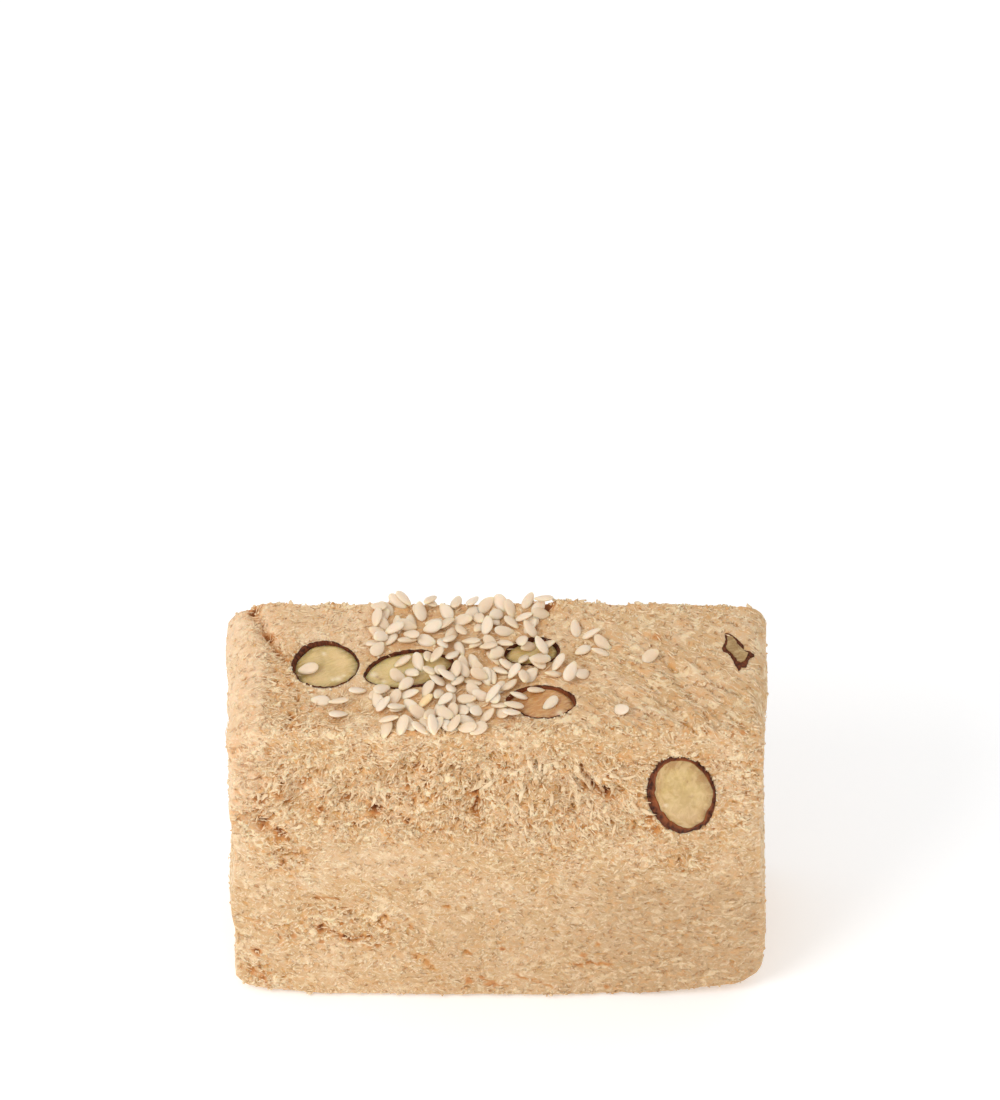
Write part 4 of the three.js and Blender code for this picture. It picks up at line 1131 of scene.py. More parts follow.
def sesame(material):
    """All the seeds as one piece: each flat, egg-shaped, pointed at one end and a little bent."""
    form, form_faces = seed_form()
    along_share, across_share, deep_share = form.T
    rng = np.random.RandomState(FORM_DRAWS)
    points, faces, tone, tip = [], [], [], []
    for number, seed in enumerate(laid_seeds()):
        taper = rng.uniform(0.3, 0.5) * ((1 + along_share) / 2) ** 2
        along = along_share * seed["length"] / 2 * SEED_SLIM
        across = across_share * (1.06 - taper) * seed["width"] / 2 * SEED_SLIM
        across += rng.uniform(-0.06, 0.06) * along**2
        deep = deep_share * (1.04 - 0.6 * taper) * seed["depth"] / 2
        lean = seed["tilt"][0] * along + seed["tilt"][1] * across
        cos, sin = math.cos(seed["heading"]), math.sin(seed["heading"])
        place = np.column_stack([along * cos - across * sin, along * sin + across * cos, lean + deep])
        faces += [[number * len(place) + n for n in face] for face in form_faces]
        points.append(place + (seed["x"], seed["y"], seed["z"]))
        tone.append(np.full(len(place), rng.uniform()))
        tip.append(ramp(0.35, 1, along_share))
    piece = piece_from("sesame_seeds", np.vstack(points), faces, material,
                       tone=np.concatenate(tone), tip=np.concatenate(tip))
    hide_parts("halva", *(a["name"] for a in ALMONDS if a["face"] == "top"))


# ---- what crumbled and tore: flakes, fibres and crumbs ----

# How many of each kind there are.
TORN_FLAKES = 260
BACK_EDGE_FLAKES = 36
FRONT_FIBRES = 5500
TOP_FIBRES = 4500
BACK_AND_SIDE_FIBRES = 7000
RIM_CRUMBS = 130
CRUMBS = 9000

TONGUE_THICKNESS = 0.38
FIBRE_TILT = (-0.08, 0.1)  # how far a fibre's tip stands up, in radians
PALE_TONE = 0.9  # added to the tone of bits that are paler than the rest


def tongue_forms(rng, count):
    """Torn tongues from X 0 to 1, up to 1 wide and 1 thick: narrow where they leave the crust,
    rounded across, ridged lengthways and frayed to a point."""
    forms = []
    for _ in range(count):
        bm = bmesh.new()
        bmesh.ops.create_cube(bm, size=1)
        bmesh.ops.translate(bm, vec=(0.5, 0, 0), verts=bm.verts)
        for axis, cuts in ((0, 8), (1, 4)):
            runs = [e for e in bm.edges if abs(e.verts[0].co[axis] - e.verts[1].co[axis]) > 0.1]
            bmesh.ops.subdivide_edges(bm, edges=runs, cuts=cuts)
        points, faces = taken_from(bm)
        x, y, z = points.T
        phase = rng.uniform(0, 6, 5)
        width = np.where(x < 0.3, 0.4 + 2.1 * x, 1.03 - 0.9 * (np.clip(x - 0.3, 0, 1) / 0.7) ** 1.5)
        width = width * (1 + 0.16 * np.sin(8 * x + phase[0]))
        bend = 0.28 * rng.normal() * x**2 + 0.1 * np.sin(6 * x + phase[1])
        thick = (1 - 0.8 * (2 * y) ** 2) * (1 - 0.6 * x)
        ridges = 0.16 * np.sin(14 * y + phase[2]) + 0.16 * np.sin(7 * x + 5 * y + phase[3])
        reach = x * (1 + 0.14 * np.sin(8 * y + phase[4]) * x)
        place = np.column_stack([reach, y * width + bend, z * thick + ridges * thick])
        forms.append((place + rng.normal(0, 0.02, points.shape), faces))
    return forms


def fibre_forms(rng, count):
    """Short fibres from X 0 to 1, three-sided, thick and bowed in the middle."""
    forms = []
    for _ in range(count):
        bm = bmesh.new()
        bmesh.ops.create_cone(bm, cap_ends=True, segments=3, radius1=0.6, radius2=0.6, depth=1)
        runs = [e for e in bm.edges if abs(e.verts[0].co.z - e.verts[1].co.z) > 0.5]
        bmesh.ops.subdivide_edges(bm, edges=runs, cuts=1)
        points, faces = taken_from(bm)
        side, up, along = points.T
        thick = 1 - 0.75 * (2 * along) ** 2
        bow = rng.uniform(-0.25, 0.25, 2)[:, None] * (1 - (2 * along) ** 2)
        forms.append((np.column_stack([along + 0.5, side * thick + bow[0], up * thick + bow[1]]), faces))
    return forms


def crumb_forms(rng, count):
    """Broken crumbs, about 1 across."""
    forms = []
    for _ in range(count):
        bm = bmesh.new()
        bmesh.ops.create_icosphere(bm, subdivisions=1, radius=0.5)
        points, faces = taken_from(bm)
        forms.append((points * rng.uniform(0.55, 1.3, (len(points), 1)), faces))
    return forms


class Crust:
    """The finished halva body's small faces, from which places for loose bits are drawn. Nothing is
    drawn where it isn't clear, and little where it isn't open, close beside an almond."""

    def __init__(self, body):
        count = len(body.data.polygons)
        self.centre, self.out = np.empty(count * 3, np.float32), np.empty(count * 3, np.float32)
        self.area = np.empty(count, np.float32)
        body.data.polygons.foreach_get("center", self.centre)
        body.data.polygons.foreach_get("normal", self.out)
        body.data.polygons.foreach_get("area", self.area)
        self.centre = self.centre.reshape(-1, 3).astype(float) / MM
        self.out = self.out.reshape(-1, 3).astype(float)
        self.clear, self.open = np.ones(count), np.ones(count)
        for almond in ALMONDS:
            a, b, off = self.seen_from(almond)
            share = outline_share(a, b, almond)
            self.clear[(share < 1.02) & (off < 6)] = 0
            self.open[(share < 1 + 1.1 / min(almond["size"]) * 2) & (off < 2)] = 0.1
        x, y, z = self.centre.T
        by_chip = np.hypot(x - CHIP_AT[0], (y - CHIP_AT[1]) / 2) < 1.9
        self.clear[by_chip & (z > HEIGHT - 5)] = 0

    def seen_from(self, almond):
        """Each place along an almond and across it, as shares of its half size, and how far it lies
        off the plane of its rim."""
        local = (self.centre - almond_anchor(almond)) @ almond_axes(almond).T
        a, b = (local[:, :2] / (np.array(almond["size"]) / 2)).T
        return a, b, np.abs(local[:, 2])

    def on_front(self, x, z):
        """The places of the front face nearest to these, and the way out of it."""
        front = np.flatnonzero(self.centre[:, 1] < 2 - HALF_THICKNESS)
        gaps = np.hypot(self.centre[front, 0] - x[:, None], self.centre[front, 2] - z[:, None])
        return self.centre[front[gaps.argmin(1)]], np.tile((0.0, -1.0, 0.0), (len(x), 1))

    def draw(self, rng, likely, count):
        """Places on the crust, more of them where they are more likely, and the ways out of it."""
        chance = likely * self.area * self.clear
        picked = rng.choice(len(chance), count, p=chance / chance.sum())
        jitter = rng.normal(0, 0.1, (count, 3))
        return self.centre[picked] + jitter, self.out[picked]


def loose_bits(
    name, forms, rng, spots, outs, ways, lift, sizes, sink, material, curl=0, smooth=False, pale=False,
):
    """One piece of many small copies. Each lies along its way on the crust, its root sunk in it
    and its tip lifted by an angle in radians."""
    n = len(spots)
    ways = ways - (ways * outs).sum(1, keepdims=True) * outs
    ways /= np.linalg.norm(ways, axis=1, keepdims=True)
    sides = np.cross(outs, ways)
    cos, sin = np.cos(lift)[:, None], np.sin(lift)[:, None]
    axes = np.stack([ways * cos + outs * sin, sides, outs * cos - ways * sin], axis=1)
    kinds = rng.randint(len(forms), size=n)
    curls = rng.normal(curl, 0.3 * abs(curl), n)
    # The same darkening for loose bits on the front: own darker tone and painted shade.
    tans = tan_share(spots[:, 0], spots[:, 2]) * np.clip(-outs[:, 1], 0, 1)
    points, faces, tone, tan, start = [], [], [], [], 0
    for kind, (form, form_faces) in enumerate(forms):
        mine = kinds == kind
        shaped = form[None] * sizes[mine][:, None]
        shaped[..., 2] += curls[mine][:, None] * form[None, :, 0] ** 2 * sizes[mine][:, :1]
        place = np.einsum("npi,nij->npj", shaped, axes[mine]) + (spots - outs * sink[:, None])[mine][:, None]
        points.append(np.clip(place.reshape(-1, 3), LEAST, MOST))
        tone.append(np.repeat(rng.uniform(size=mine.sum()) + (PALE_TONE if pale else 0), len(form)))
        tan.append(np.repeat(tans[mine], len(form)))
        first = start + len(form) * np.arange(mine.sum())[:, None]
        for face in form_faces:
            faces += (first + face).tolist()
        start += len(form) * mine.sum()
    piece = piece_from(
        name, np.vstack(points), faces, material, smooth, tone=np.concatenate(tone), tan=np.concatenate(tan),
    )
    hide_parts("halva")


def drawn_sizes(rng, count, *ranges):
    """Length, width and thickness of each bit, each from its own range."""
    return np.column_stack([rng.uniform(low, high, count) for low, high in ranges])


def front_ways(rng, spots, spread):
    """Ways of shreds on a cut face: fanned downwards in the torn band, drawn level at the lower
    right, and in drifts elsewhere. The spread is in radians."""
    x, _, z = spots.T
    drift = 1.7 * swirls(x / 8, z / 6, 91) + 0.6
    drift *= 1 - ramp(8, 20, x) * ramp(28, 20, z)
    fan = np.arctan2(-FAN_REACH, x - FAN_TOP[0])
    angle = drift + (fan - drift) * ramp(0.1, 0.5, torn_band(x, z)) + rng.normal(0, spread, len(x))
    return np.column_stack([np.cos(angle), 0 * x, np.sin(angle)])


def top_ways(rng, spots, spread):
    """Ways of fibres on the top: dragged to the front right on its right, in drifts elsewhere."""
    x, y, _ = spots.T
    drift = 1.2 * swirls(x / 9, y / 6, 92) + 0.15
    angle = drift + (-0.65 - drift) * ramp(5, 16, x) + rng.normal(0, spread, len(x))
    return np.column_stack([np.cos(angle), np.sin(angle), 0 * x])


def side_ways(rng, spots, outs):
    """On the sides and the base, ways along the slice's thickness and upwards."""
    angle = rng.normal(1.1, 0.6, len(spots)) + 0.8 * swirls(spots[:, 1] / 7, spots[:, 2] / 7, 93)
    flank = (np.abs(outs[:, 1]) < 0.5)[:, None]
    return np.column_stack([0 * angle, np.cos(angle), np.sin(angle)]) * flank * 4


# Tongues of the torn band: x and z of the root, length, width, and the way they hang in degrees.
TONGUES = [
    (12, 53.8, 4.4, 1.4, -72), (13.9, 49.3, 4.2, 0.7, -70), (10.9, 53.6, 3.5, 1, -81),
    (9.4, 53.6, 2.5, 1.2, -85), (7.6, 53.6, 2.2, 0.9, -98), (8.3, 51.4, 1.8, 0.9, -90),
    (11.4, 50.1, 2.6, 0.8, -60), (6.4, 51.1, 2.5, 1, -97), (16.1, 46.9, 1.9, 1.4, -80),
    (18, 45.1, 2.4, 1.3, -75), (19.5, 49.8, 2.8, 0.8, 18), (22.4, 43.4, 2.5, 0.8, -27),
    (15.5, 51.4, 1.9, 1, -65), (4.4, 48.8, 3.4, 0.9, -100), (2.5, 48.3, 3.3, 0.8, -112),
    (-1.7, 50.4, 3.2, 1.1, -134), (0, 50.7, 3.1, 0.9, -138), (8.8, 47.2, 3.1, 0.8, -96),
    (10.2, 47.2, 2.4, 0.8, -88), (12.2, 46.7, 2.7, 0.8, -73), (14.2, 44.8, 3, 0.7, -70),
    (17, 42.5, 2.4, 0.8, -70), (-9.2, 51.3, 2.6, 1, -60), (-12.4, 50.6, 2.4, 1.1, -75),
    (-15.5, 49.8, 2.2, 1.2, -80), (-17.8, 48, 2.4, 1.1, -100), (-5.2, 48.6, 2.2, 1, -120),
    (5.6, 45.2, 2.8, 0.8, -98), (-21.5, 50.2, 2.2, 1, -20), (-25.8, 50.6, 1.8, 0.9, -150),
    (-10.8, 46.2, 2, 0.8, -70),
]


def along_rims(crust):
    """How likely a crumb is along the almonds' rims, in clusters."""
    rim = np.zeros(len(crust.centre))
    for almond in ALMONDS:
        a, b, off = crust.seen_from(almond)
        share = outline_share(a, b, almond)
        clustered = 0.15 + ramp(0.1, 0.7, swirls(2 * a, 2 * b, 94))
        rim += hill(share - 1.03, 0.04) * (off < 1.5) * clustered
    return rim


def add_loose_bits(crust, material):
    rng = np.random.RandomState(LOOSE_DRAWS)
    x, y, z = crust.centre.T
    ox, oy, oz = crust.out.T
    front, back, top = np.clip(-oy, 0, 1) ** 2, np.clip(oy, 0, 1) ** 2, np.clip(oz, 0, 1) ** 2
    top *= z > HEIGHT / 2
    side = ox**2
    rough, torn = front_roughness(x, z), torn_band(x, z)
    calm = 1 - 0.85 * smooth_corner(x, z)
    inward = np.abs(x) < 40.3
    edge = hill(np.hypot(y + 14.2, z - 60), 1.6) + hill(np.hypot(y - 14.2, z - 60.5), 1.4)
    edge += hill(z - 1, 1.5) * front

    # The torn band's tongues.
    x_root, z_root, length, width, heading = np.array(TONGUES).T
    count = len(TONGUES)
    spots, outs = crust.on_front(x_root, z_root)
    heading = np.radians(heading)
    ways = np.column_stack([np.cos(heading), 0 * heading, np.sin(heading)])
    sizes = np.column_stack([length, width, np.full(count, TONGUE_THICKNESS)])
    loose_bits(
        "torn_tongues", tongue_forms(rng, 12), rng, spots, outs, ways, rng.uniform(0.38, 0.5, count),
        sizes, rng.uniform(0.1, 0.2, count), material, curl=-0.4, smooth=True,
    )

    # Torn flakes, hanging in the torn band.
    count = TORN_FLAKES
    behind = 0.12 * back * ramp(24, 40, z) * ramp(57, 53, z)
    broken = (front * torn**2 + behind) * (np.abs(x) < 38) * crust.open
    spots, outs = crust.draw(rng, broken, count)
    sizes = drawn_sizes(rng, count, (0.9, 2.3), (0.4, 0.95), (0.22, 0.36))
    loose_bits(
        "torn_flakes", tongue_forms(rng, 10), rng, spots, outs, front_ways(rng, spots, 0.35),
        rng.uniform(0.3, 0.5, count), sizes, rng.uniform(0.1, 0.22, count), material,
        curl=-0.42, smooth=True,
    )

    # Flakes that stand up along the broken back edge.
    count = BACK_EDGE_FLAKES
    at_back = hill(np.hypot(y - 13.6, z - 60.8), 0.9) * (0.12 + hill(x + 29, 5) + 1.5 * hill(x - 11, 3))
    spots, outs = crust.draw(rng, at_back, count)
    sizes = drawn_sizes(rng, count, (0.5, 1.2), (0.7, 1.5), (0.35, 0.6))
    loose_bits(
        "back_edge_flakes", tongue_forms(rng, 6), rng, spots, outs,
        rng.normal(0, 1, (count, 3)) + (0, 1, 0.6), rng.uniform(0, 0.3, count), sizes,
        rng.uniform(0.05, 0.2, count), material, smooth=True,
    )

    # Fine fibres on the front.
    count = FRONT_FIBRES
    likely = front * inward * (z < 59) * crust.open * (0.04 + rough) * calm
    spots, outs = crust.draw(rng, likely, count)
    sizes = drawn_sizes(rng, count, (0.5, 1.35), (0.18, 0.4), (0.09, 0.16))
    loose_bits(
        "front_fibres", fibre_forms(rng, 8), rng, spots, outs, front_ways(rng, spots, 0.5),
        rng.uniform(*FIBRE_TILT, count), sizes, rng.uniform(0.02, 0.1, count), material,
    )

    # Fine fibres on the top.
    count = TOP_FIBRES
    likely = top * inward * (y < 13) * crust.open * (0.6 + top_crumble(x, y))
    spots, outs = crust.draw(rng, likely, count)
    sizes = drawn_sizes(rng, count, (0.6, 1.8), (0.14, 0.32), (0.07, 0.13))
    loose_bits(
        "top_fibres", fibre_forms(rng, 8), rng, spots, outs, top_ways(rng, spots, 0.45),
        rng.uniform(*FIBRE_TILT, count), sizes, rng.uniform(0.01, 0.09, count), material,
    )

    # Fine fibres on the back, the sides and the base.
    count = BACK_AND_SIDE_FIBRES
    flank = side * (np.abs(y) < 12.5) * (np.abs(z - 30) < 26)
    behind = back * inward * (z < 58.5) * crust.open
    drifts = 0.25 + ramp(-0.2, 0.5, swirls((x + y) / 5, z / 4, 95))
    spots, outs = crust.draw(rng, (behind + 0.5 * flank) * drifts + 0.15 * (oz < -0.5), count)
    sizes = drawn_sizes(rng, count, (0.5, 1.5), (0.15, 0.3), (0.08, 0.16))
    ways = front_ways(rng, spots, 0.6) * (1, 0, 1) + side_ways(rng, spots, outs)
    loose_bits(
        "back_and_side_fibres", fibre_forms(rng, 8), rng, spots, outs, ways,
        rng.uniform(-0.08, 0.08, count), sizes, rng.uniform(0.02, 0.1, count), material,
    )

    # Pale crumbs along the almonds' rims.
    count = RIM_CRUMBS
    spots, outs = crust.draw(rng, along_rims(crust), count)
    sizes = rng.uniform(0.2, 0.5, (count, 1)) * rng.uniform(0.7, 1.3, (count, 3))
    loose_bits(
        "rim_crumbs", crumb_forms(rng, 8), rng, spots, outs, rng.normal(0, 1, (count, 3)),
        np.zeros(count), sizes, rng.uniform(-0.1, 0.1, count), material, smooth=True, pale=True,
    )

    # Crumbs, in the rough places and along the broken edges.
    count = CRUMBS
    likely = front * (0.15 + rough) * calm + 1.3 * edge + 0.4 * back
    likely = likely + top * (0.25 + top_crumble(x, y)) + 0.2 * side
    spots, outs = crust.draw(rng, likely, count)
    sizes = rng.uniform(0.25, 0.7, (count, 1)) * rng.uniform(0.7, 1.3, (count, 3))
    loose_bits(
        "crumbs", crumb_forms(rng, 8), rng, spots, outs, rng.normal(0, 1, (count, 3)),
        np.zeros(count), sizes, rng.uniform(0.02, 0.16, count), material, smooth=True,
    )


# ---- materials ----

# Colours of the pressed halva, and of its loose bits, as linear red, green and blue.
HALVA_TAN, HALVA_CREAM = (0.67, 0.436, 0.225), (0.74, 0.511, 0.30)
# The foot's darker colour: the halva's own darker tone and painted shade of the light's fall-off.
FOOT_TAN_AND_SHADE, FOOT_DASHES = (0.56, 0.366, 0.198), (0.45, 0.21, 0.08)
PALE_CLUMPS, BROWN_CLUMPS = (0.96, 0.775, 0.505), (0.76, 0.42, 0.175)
# On the bump's fibre ridges: pale fibres and painted highlight; in its grooves: brown fibres and painted
# shade.
PALE_FIBRES_AND_HIGHLIGHT, BROWN_FIBRES_AND_SHADE = (0.96, 0.80, 0.575), (0.66, 0.31, 0.095)
# Pores and hollows: painted shade, orange-brown where the halva's recesses lie.
PORE_SHADE, SHALLOW_HOLLOW_SHADE, DEEP_HOLLOW_SHADE = (0.54, 0.22, 0.055), (0.76, 0.40, 0.125), (0.45, 0.16, 0.04)
# Stains, and painted shade in pits and cracks.
STAIN_AND_PIT_SHADE, DARK_STAIN_AND_PIT_SHADE, HALVA_SPECKS = (0.60, 0.25, 0.07), (0.31, 0.105, 0.032), (0.28, 0.10, 0.035)
# The colour under the seeds is painted shadow.
SEED_SHADOW_COLOUR, PALE_AND_LIT_LIP = (0.76, 0.43, 0.18), (0.93, 0.655, 0.425)
LOOSE_CREAM, LOOSE_BROWN = (0.955, 0.755, 0.49), (0.75, 0.39, 0.135)
LOOSE_PALE, LOOSE_TAN_AND_SHADE = (0.93, 0.79, 0.59), (0.62, 0.415, 0.23)

# The almonds' and the sesame's.
KERNEL_VEINS, KERNEL_SPECKS = (0.86, 0.66, 0.35), (0.58, 0.29, 0.105)
SKIN_DARK, SKIN_BROWN, SKIN_RED = (0.045, 0.012, 0.006), (0.16, 0.043, 0.016), (0.33, 0.095, 0.03)
SKIN_DUST = (0.5, 0.33, 0.22)
SEED_IVORY, SEED_CREAM = (0.79, 0.628, 0.448), (0.86, 0.72, 0.565)
SEED_TIP, SEED_MOTTLE, SEED_YELLOW = (0.94, 0.76, 0.46), (0.93, 0.75, 0.51), (0.94, 0.67, 0.36)

KERNEL_SCATTER = 0.9  # how much of the light goes through a kernel's flesh
CHIP_SCATTER = 0.1  # the chip is too thin to glow


class Finish:
    """A material while it is being made: nodes on the object's own coordinates."""

    def __init__(self, name):
        self.material = bpy.data.materials.new(name)
        self.material.use_nodes = True
        tree = self.material.node_tree
        self.nodes, self.links = tree.nodes, tree.links
        self.shader = self.nodes["Principled BSDF"]
        self.place = self.nodes.new("ShaderNodeTexCoord").outputs["Object"]

    def feed(self, socket, value):
        if isinstance(value, bpy.types.NodeSocket):
            self.links.new(value, socket)
        else:
            socket.default_value = value

    def add(self, kind, inputs, **settings):
        node = self.nodes.new("ShaderNode" + kind)
        for key, value in settings.items():
            setattr(node, key, value)
        for key, value in inputs.items():
            self.feed(node.inputs[key], value)
        return node

    def tone(self, name, colour=False):
        node = self.add("Attribute", {}, attribute_name=name)
        return node.outputs["Color" if colour else "Fac"]

    def grain(self, size, turn=(0, 0, 0), detail=2, warp=0):
        """Noise whose lumps have these sizes in millimetres along its axes, turned by degrees."""
        scale = [value * MM for value in size]
        turn = [math.radians(value) for value in turn]
        inputs = {"Vector": self.place, "Rotation": turn, "Scale": scale}
        place = self.add("Mapping", inputs, vector_type="TEXTURE").outputs[0]
        inputs = {"Vector": place, "Scale": 1, "Detail": detail, "Roughness": 0.5, "Distortion": warp}
        return self.add("TexNoise", inputs).outputs["Fac"]

    def span(self, value, low, high, to_low=0, to_high=1):
        """A smooth rise from one value to another, while what is given goes from low to high."""
        inputs = {"Value": value, "From Min": low, "From Max": high, "To Min": to_low, "To Max": to_high}
        return self.add("MapRange", inputs, interpolation_type="SMOOTHSTEP").outputs["Result"]

    def maths(self, operation, a, b):
        return self.add("Math", {0: a, 1: b}, operation=operation).outputs[0]

    def mix(self, share, a, b):
        """The colour a, and b to that share."""
        a, b = ((*c, 1) if isinstance(c, tuple) else c for c in (a, b))
        return self.add("Mix", {0: share, 6: a, 7: b}, data_type="RGBA").outputs[2]

    def over(self, colour, value, low, high, most, other):
        """The colour, and over it the other: none at the value's low, and the most at its high."""
        return self.mix(self.span(value, low, high, 0, most), colour, other)

    def either(self, share, a, b):
        """The value a, and b to that share."""
        return self.add("Mix", {0: share, 2: a, 3: b}, data_type="FLOAT").outputs[0]

    def bump(self, height, reach, normal=None):
        """Fine relief, in millimetres, on top of the normal before it."""
        inputs = {"Height": height, "Distance": reach * MM, "Strength": 1}
        if normal:
            inputs["Normal"] = normal
        return self.add("Bump", inputs).outputs["Normal"]

    def set(self, **values):
        for key, value in values.items():
            value = (*value, 1) if key == "Base_Color" and isinstance(value, tuple) else value
            self.feed(self.shader.inputs[key.replace("_", " ")], value)
        return self.material


def halva_finish(name, loose):
    """Pressed halva: creamy fibres on a light brown ground, with painted orange-brown shade in its hollows.
    Loose bits are paler.
    """
    make = Finish(name)
    broad = make.grain((6, 6, 6), detail=3)
    fibre_a = make.grain((0.9, 0.26, 0.24), turn=(0, 35, 0), detail=3, warp=0.6)
    fibre_b = make.grain((0.8, 0.26, 0.24), turn=(0, -50, 20), detail=3, warp=0.6)
    choice = make.span(make.grain((2.4, 2.4, 2.4)), 0.42, 0.58)
    fibres = make.either(choice, fibre_a, fibre_b)
    if not loose:
        strand = make.grain((3.4, 0.36, 0.6), turn=(0, 0, -36), detail=3, warp=0.3)
        share = make.maths("MULTIPLY", make.tone("dragged"), 0.75)
        fibres = make.either(share, fibres, strand)
    fine = make.grain((0.22, 0.22, 0.22), detail=2)
    holes = make.grain((1.1, 0.8, 0.8), detail=3, warp=0.5)
    clumps = make.grain((1.9, 1.7, 1.5), detail=3, warp=0.9)
    rough = 0.8 if loose else make.span(make.tone("rough"), 0, 1, 0.35, 1)

    colour = make.mix(make.span(broad, 0.38, 0.62), HALVA_TAN, HALVA_CREAM)
    if not loose:
        # Darker towards the foot and lower right: own darker tone and painted shade.
        colour = make.mix(make.tone("tan"), colour, FOOT_TAN_AND_SHADE)
    pale = make.maths("MULTIPLY", make.span(clumps, 0.52, 0.64, 0, 0.9), rough)
    colour = make.mix(pale, colour, PALE_CLUMPS)
    deep = make.maths("MULTIPLY", make.span(clumps, 0.47, 0.34, 0, 0.85), rough)
    colour = make.mix(deep, colour, BROWN_CLUMPS)
    fewer_on_foot = make.span(make.tone("tan"), 0, 1, 1, 0.4)
    # The fibre noise also makes the bump: its ridges are painted paler, partly painted highlight, and its
    # grooves browner, partly painted shade.
    light = make.maths("MULTIPLY", make.span(fibres, 0.52, 0.70, 0, 0.8), fewer_on_foot)
    colour = make.mix(light, colour, PALE_FIBRES_AND_HIGHLIGHT)
    dark = make.maths("MULTIPLY", make.span(fibres, 0.46, 0.28, 0, 0.9), make.maths("MAXIMUM", rough, 0.6))
    colour = make.mix(dark, colour, BROWN_FIBRES_AND_SHADE)
    if loose:
        colour = make.over(colour, make.tone("tone"), 0.05, 0.9, 0.75, LOOSE_CREAM)
        colour = make.over(colour, make.tone("tone"), 0.10, 0.03, 0.55, LOOSE_BROWN)
        colour = make.over(colour, make.tone("tone"), 1.1, 1.4, 1, LOOSE_PALE)
        # Loose bits darker towards the foot and lower right: own darker tone and painted shade.
        colour = make.over(colour, make.tone("tan"), 0, 1, 0.75, LOOSE_TAN_AND_SHADE)
    else:
        # Painted shade in the pores: browner where the same noise sinks the bump.
        pore_shade_share = make.span(holes, 0.40, 0.31)
        colour = make.mix(make.maths("MULTIPLY", pore_shade_share, rough), colour, PORE_SHADE)
        # Painted shade in the hollows, darker for deeper ones.
        colour = make.over(colour, make.tone("hollow"), 0.06, 0.4, 0.7, SHALLOW_HOLLOW_SHADE)
        colour = make.over(colour, make.tone("hollow"), 0.4, 1, 0.95, DEEP_HOLLOW_SHADE)
        # Painted shadow of the seeds on the halva under their patch.
        colour = make.over(colour, make.tone("seeded"), 0, 1, 0.4, SEED_SHADOW_COLOUR)
        # Paler lip: its own paler tone and painted light.
        colour = make.over(colour, make.tone("lip"), 0, 1, 0.45, PALE_AND_LIT_LIP)
        dashes = make.span(make.grain((1.2, 1, 0.32), detail=3), 0.62, 0.72, 0, 0.6)
        colour = make.mix(make.maths("MULTIPLY", dashes, make.tone("tan")), colour, FOOT_DASHES)
        # Stains, and painted shade in the pits, cracks and fold.
        colour = make.over(colour, make.tone("stain"), 0.08, 0.5, 0.8, STAIN_AND_PIT_SHADE)
        colour = make.over(colour, make.tone("stain"), 0.5, 1, 0.85, DARK_STAIN_AND_PIT_SHADE)
    cells = make.add("TexVoronoi", {"Vector": make.place, "Scale": 1 / (2.6 * MM), "Randomness": 1})
    specks = make.span(cells.outputs["Distance"], 0.12, 0.05, 0, 0.8)
    chosen = make.span(make.grain((5, 5, 5)), 0.52, 0.6)
    colour = make.mix(make.maths("MULTIPLY", specks, chosen), colour, HALVA_SPECKS)

    normal = make.bump(fibres, 0.145)
    normal = make.bump(fine, 0.05, normal)
    if not loose:
        normal = make.bump(make.span(holes, 0.31, 0.42), 0.25, normal)
    return make.set(
        Base_Color=colour, Roughness=make.span(fine, 0.3, 0.7, 0.62, 0.85), Normal=normal,
        Subsurface_Weight=0 if loose else 0.6, Subsurface_Radius=(1.0, 0.7, 0.5), Subsurface_Scale=0.4 * MM,
        Specular_IOR_Level=0.3,
    )


def kernel_finish(name, scatter):
    """Cut almond kernel: waxy and pale, with fine knife lines and faint veins."""
    make = Finish(name)
    veins = make.grain((1.6, 0.5, 1.6), turn=(0, 0, 25), detail=3, warp=0.8)
    colour = make.over(make.tone("flesh", colour=True), veins, 0.35, 0.7, 0.4, KERNEL_VEINS)
    fine = make.grain((0.25, 0.25, 0.25), detail=3)
    colour = make.over(colour, fine, 0.62, 0.78, 0.6, KERNEL_SPECKS)
    normal = make.bump(veins, 0.09)
    normal = make.bump(fine, 0.05, normal)
    return make.set(
        Base_Color=colour, Roughness=make.span(fine, 0.3, 0.7, 0.26, 0.42), Normal=normal,
        Subsurface_Weight=scatter, Subsurface_Radius=(1.0, 0.7, 0.3), Subsurface_Scale=1.2 * MM,
        Specular_IOR_Level=0.45,
    )


def skin_finish():
    """Almond skin: dark, dry and wrinkled, redder on the kernel's side, with a little pale dust."""
    make = Finish("almond_skin")
    folds = make.grain((0.5, 0.5, 0.9), detail=4, warp=0.5)
    colour = make.mix(make.span(folds, 0.35, 0.65), SKIN_DARK, SKIN_BROWN)
    colour = make.over(colour, make.tone("warmth"), 0.3, 1, 0.85, SKIN_RED)
    dust = make.grain((0.35, 0.35, 0.35), detail=3)
    colour = make.over(colour, dust, 0.68, 0.76, 0.35, SKIN_DUST)
    normal = make.bump(folds, 0.15)
    return make.set(
        Base_Color=colour, Roughness=make.span(folds, 0.3, 0.7, 0.5, 0.75), Normal=normal,
        Specular_IOR_Level=0.16,
    )


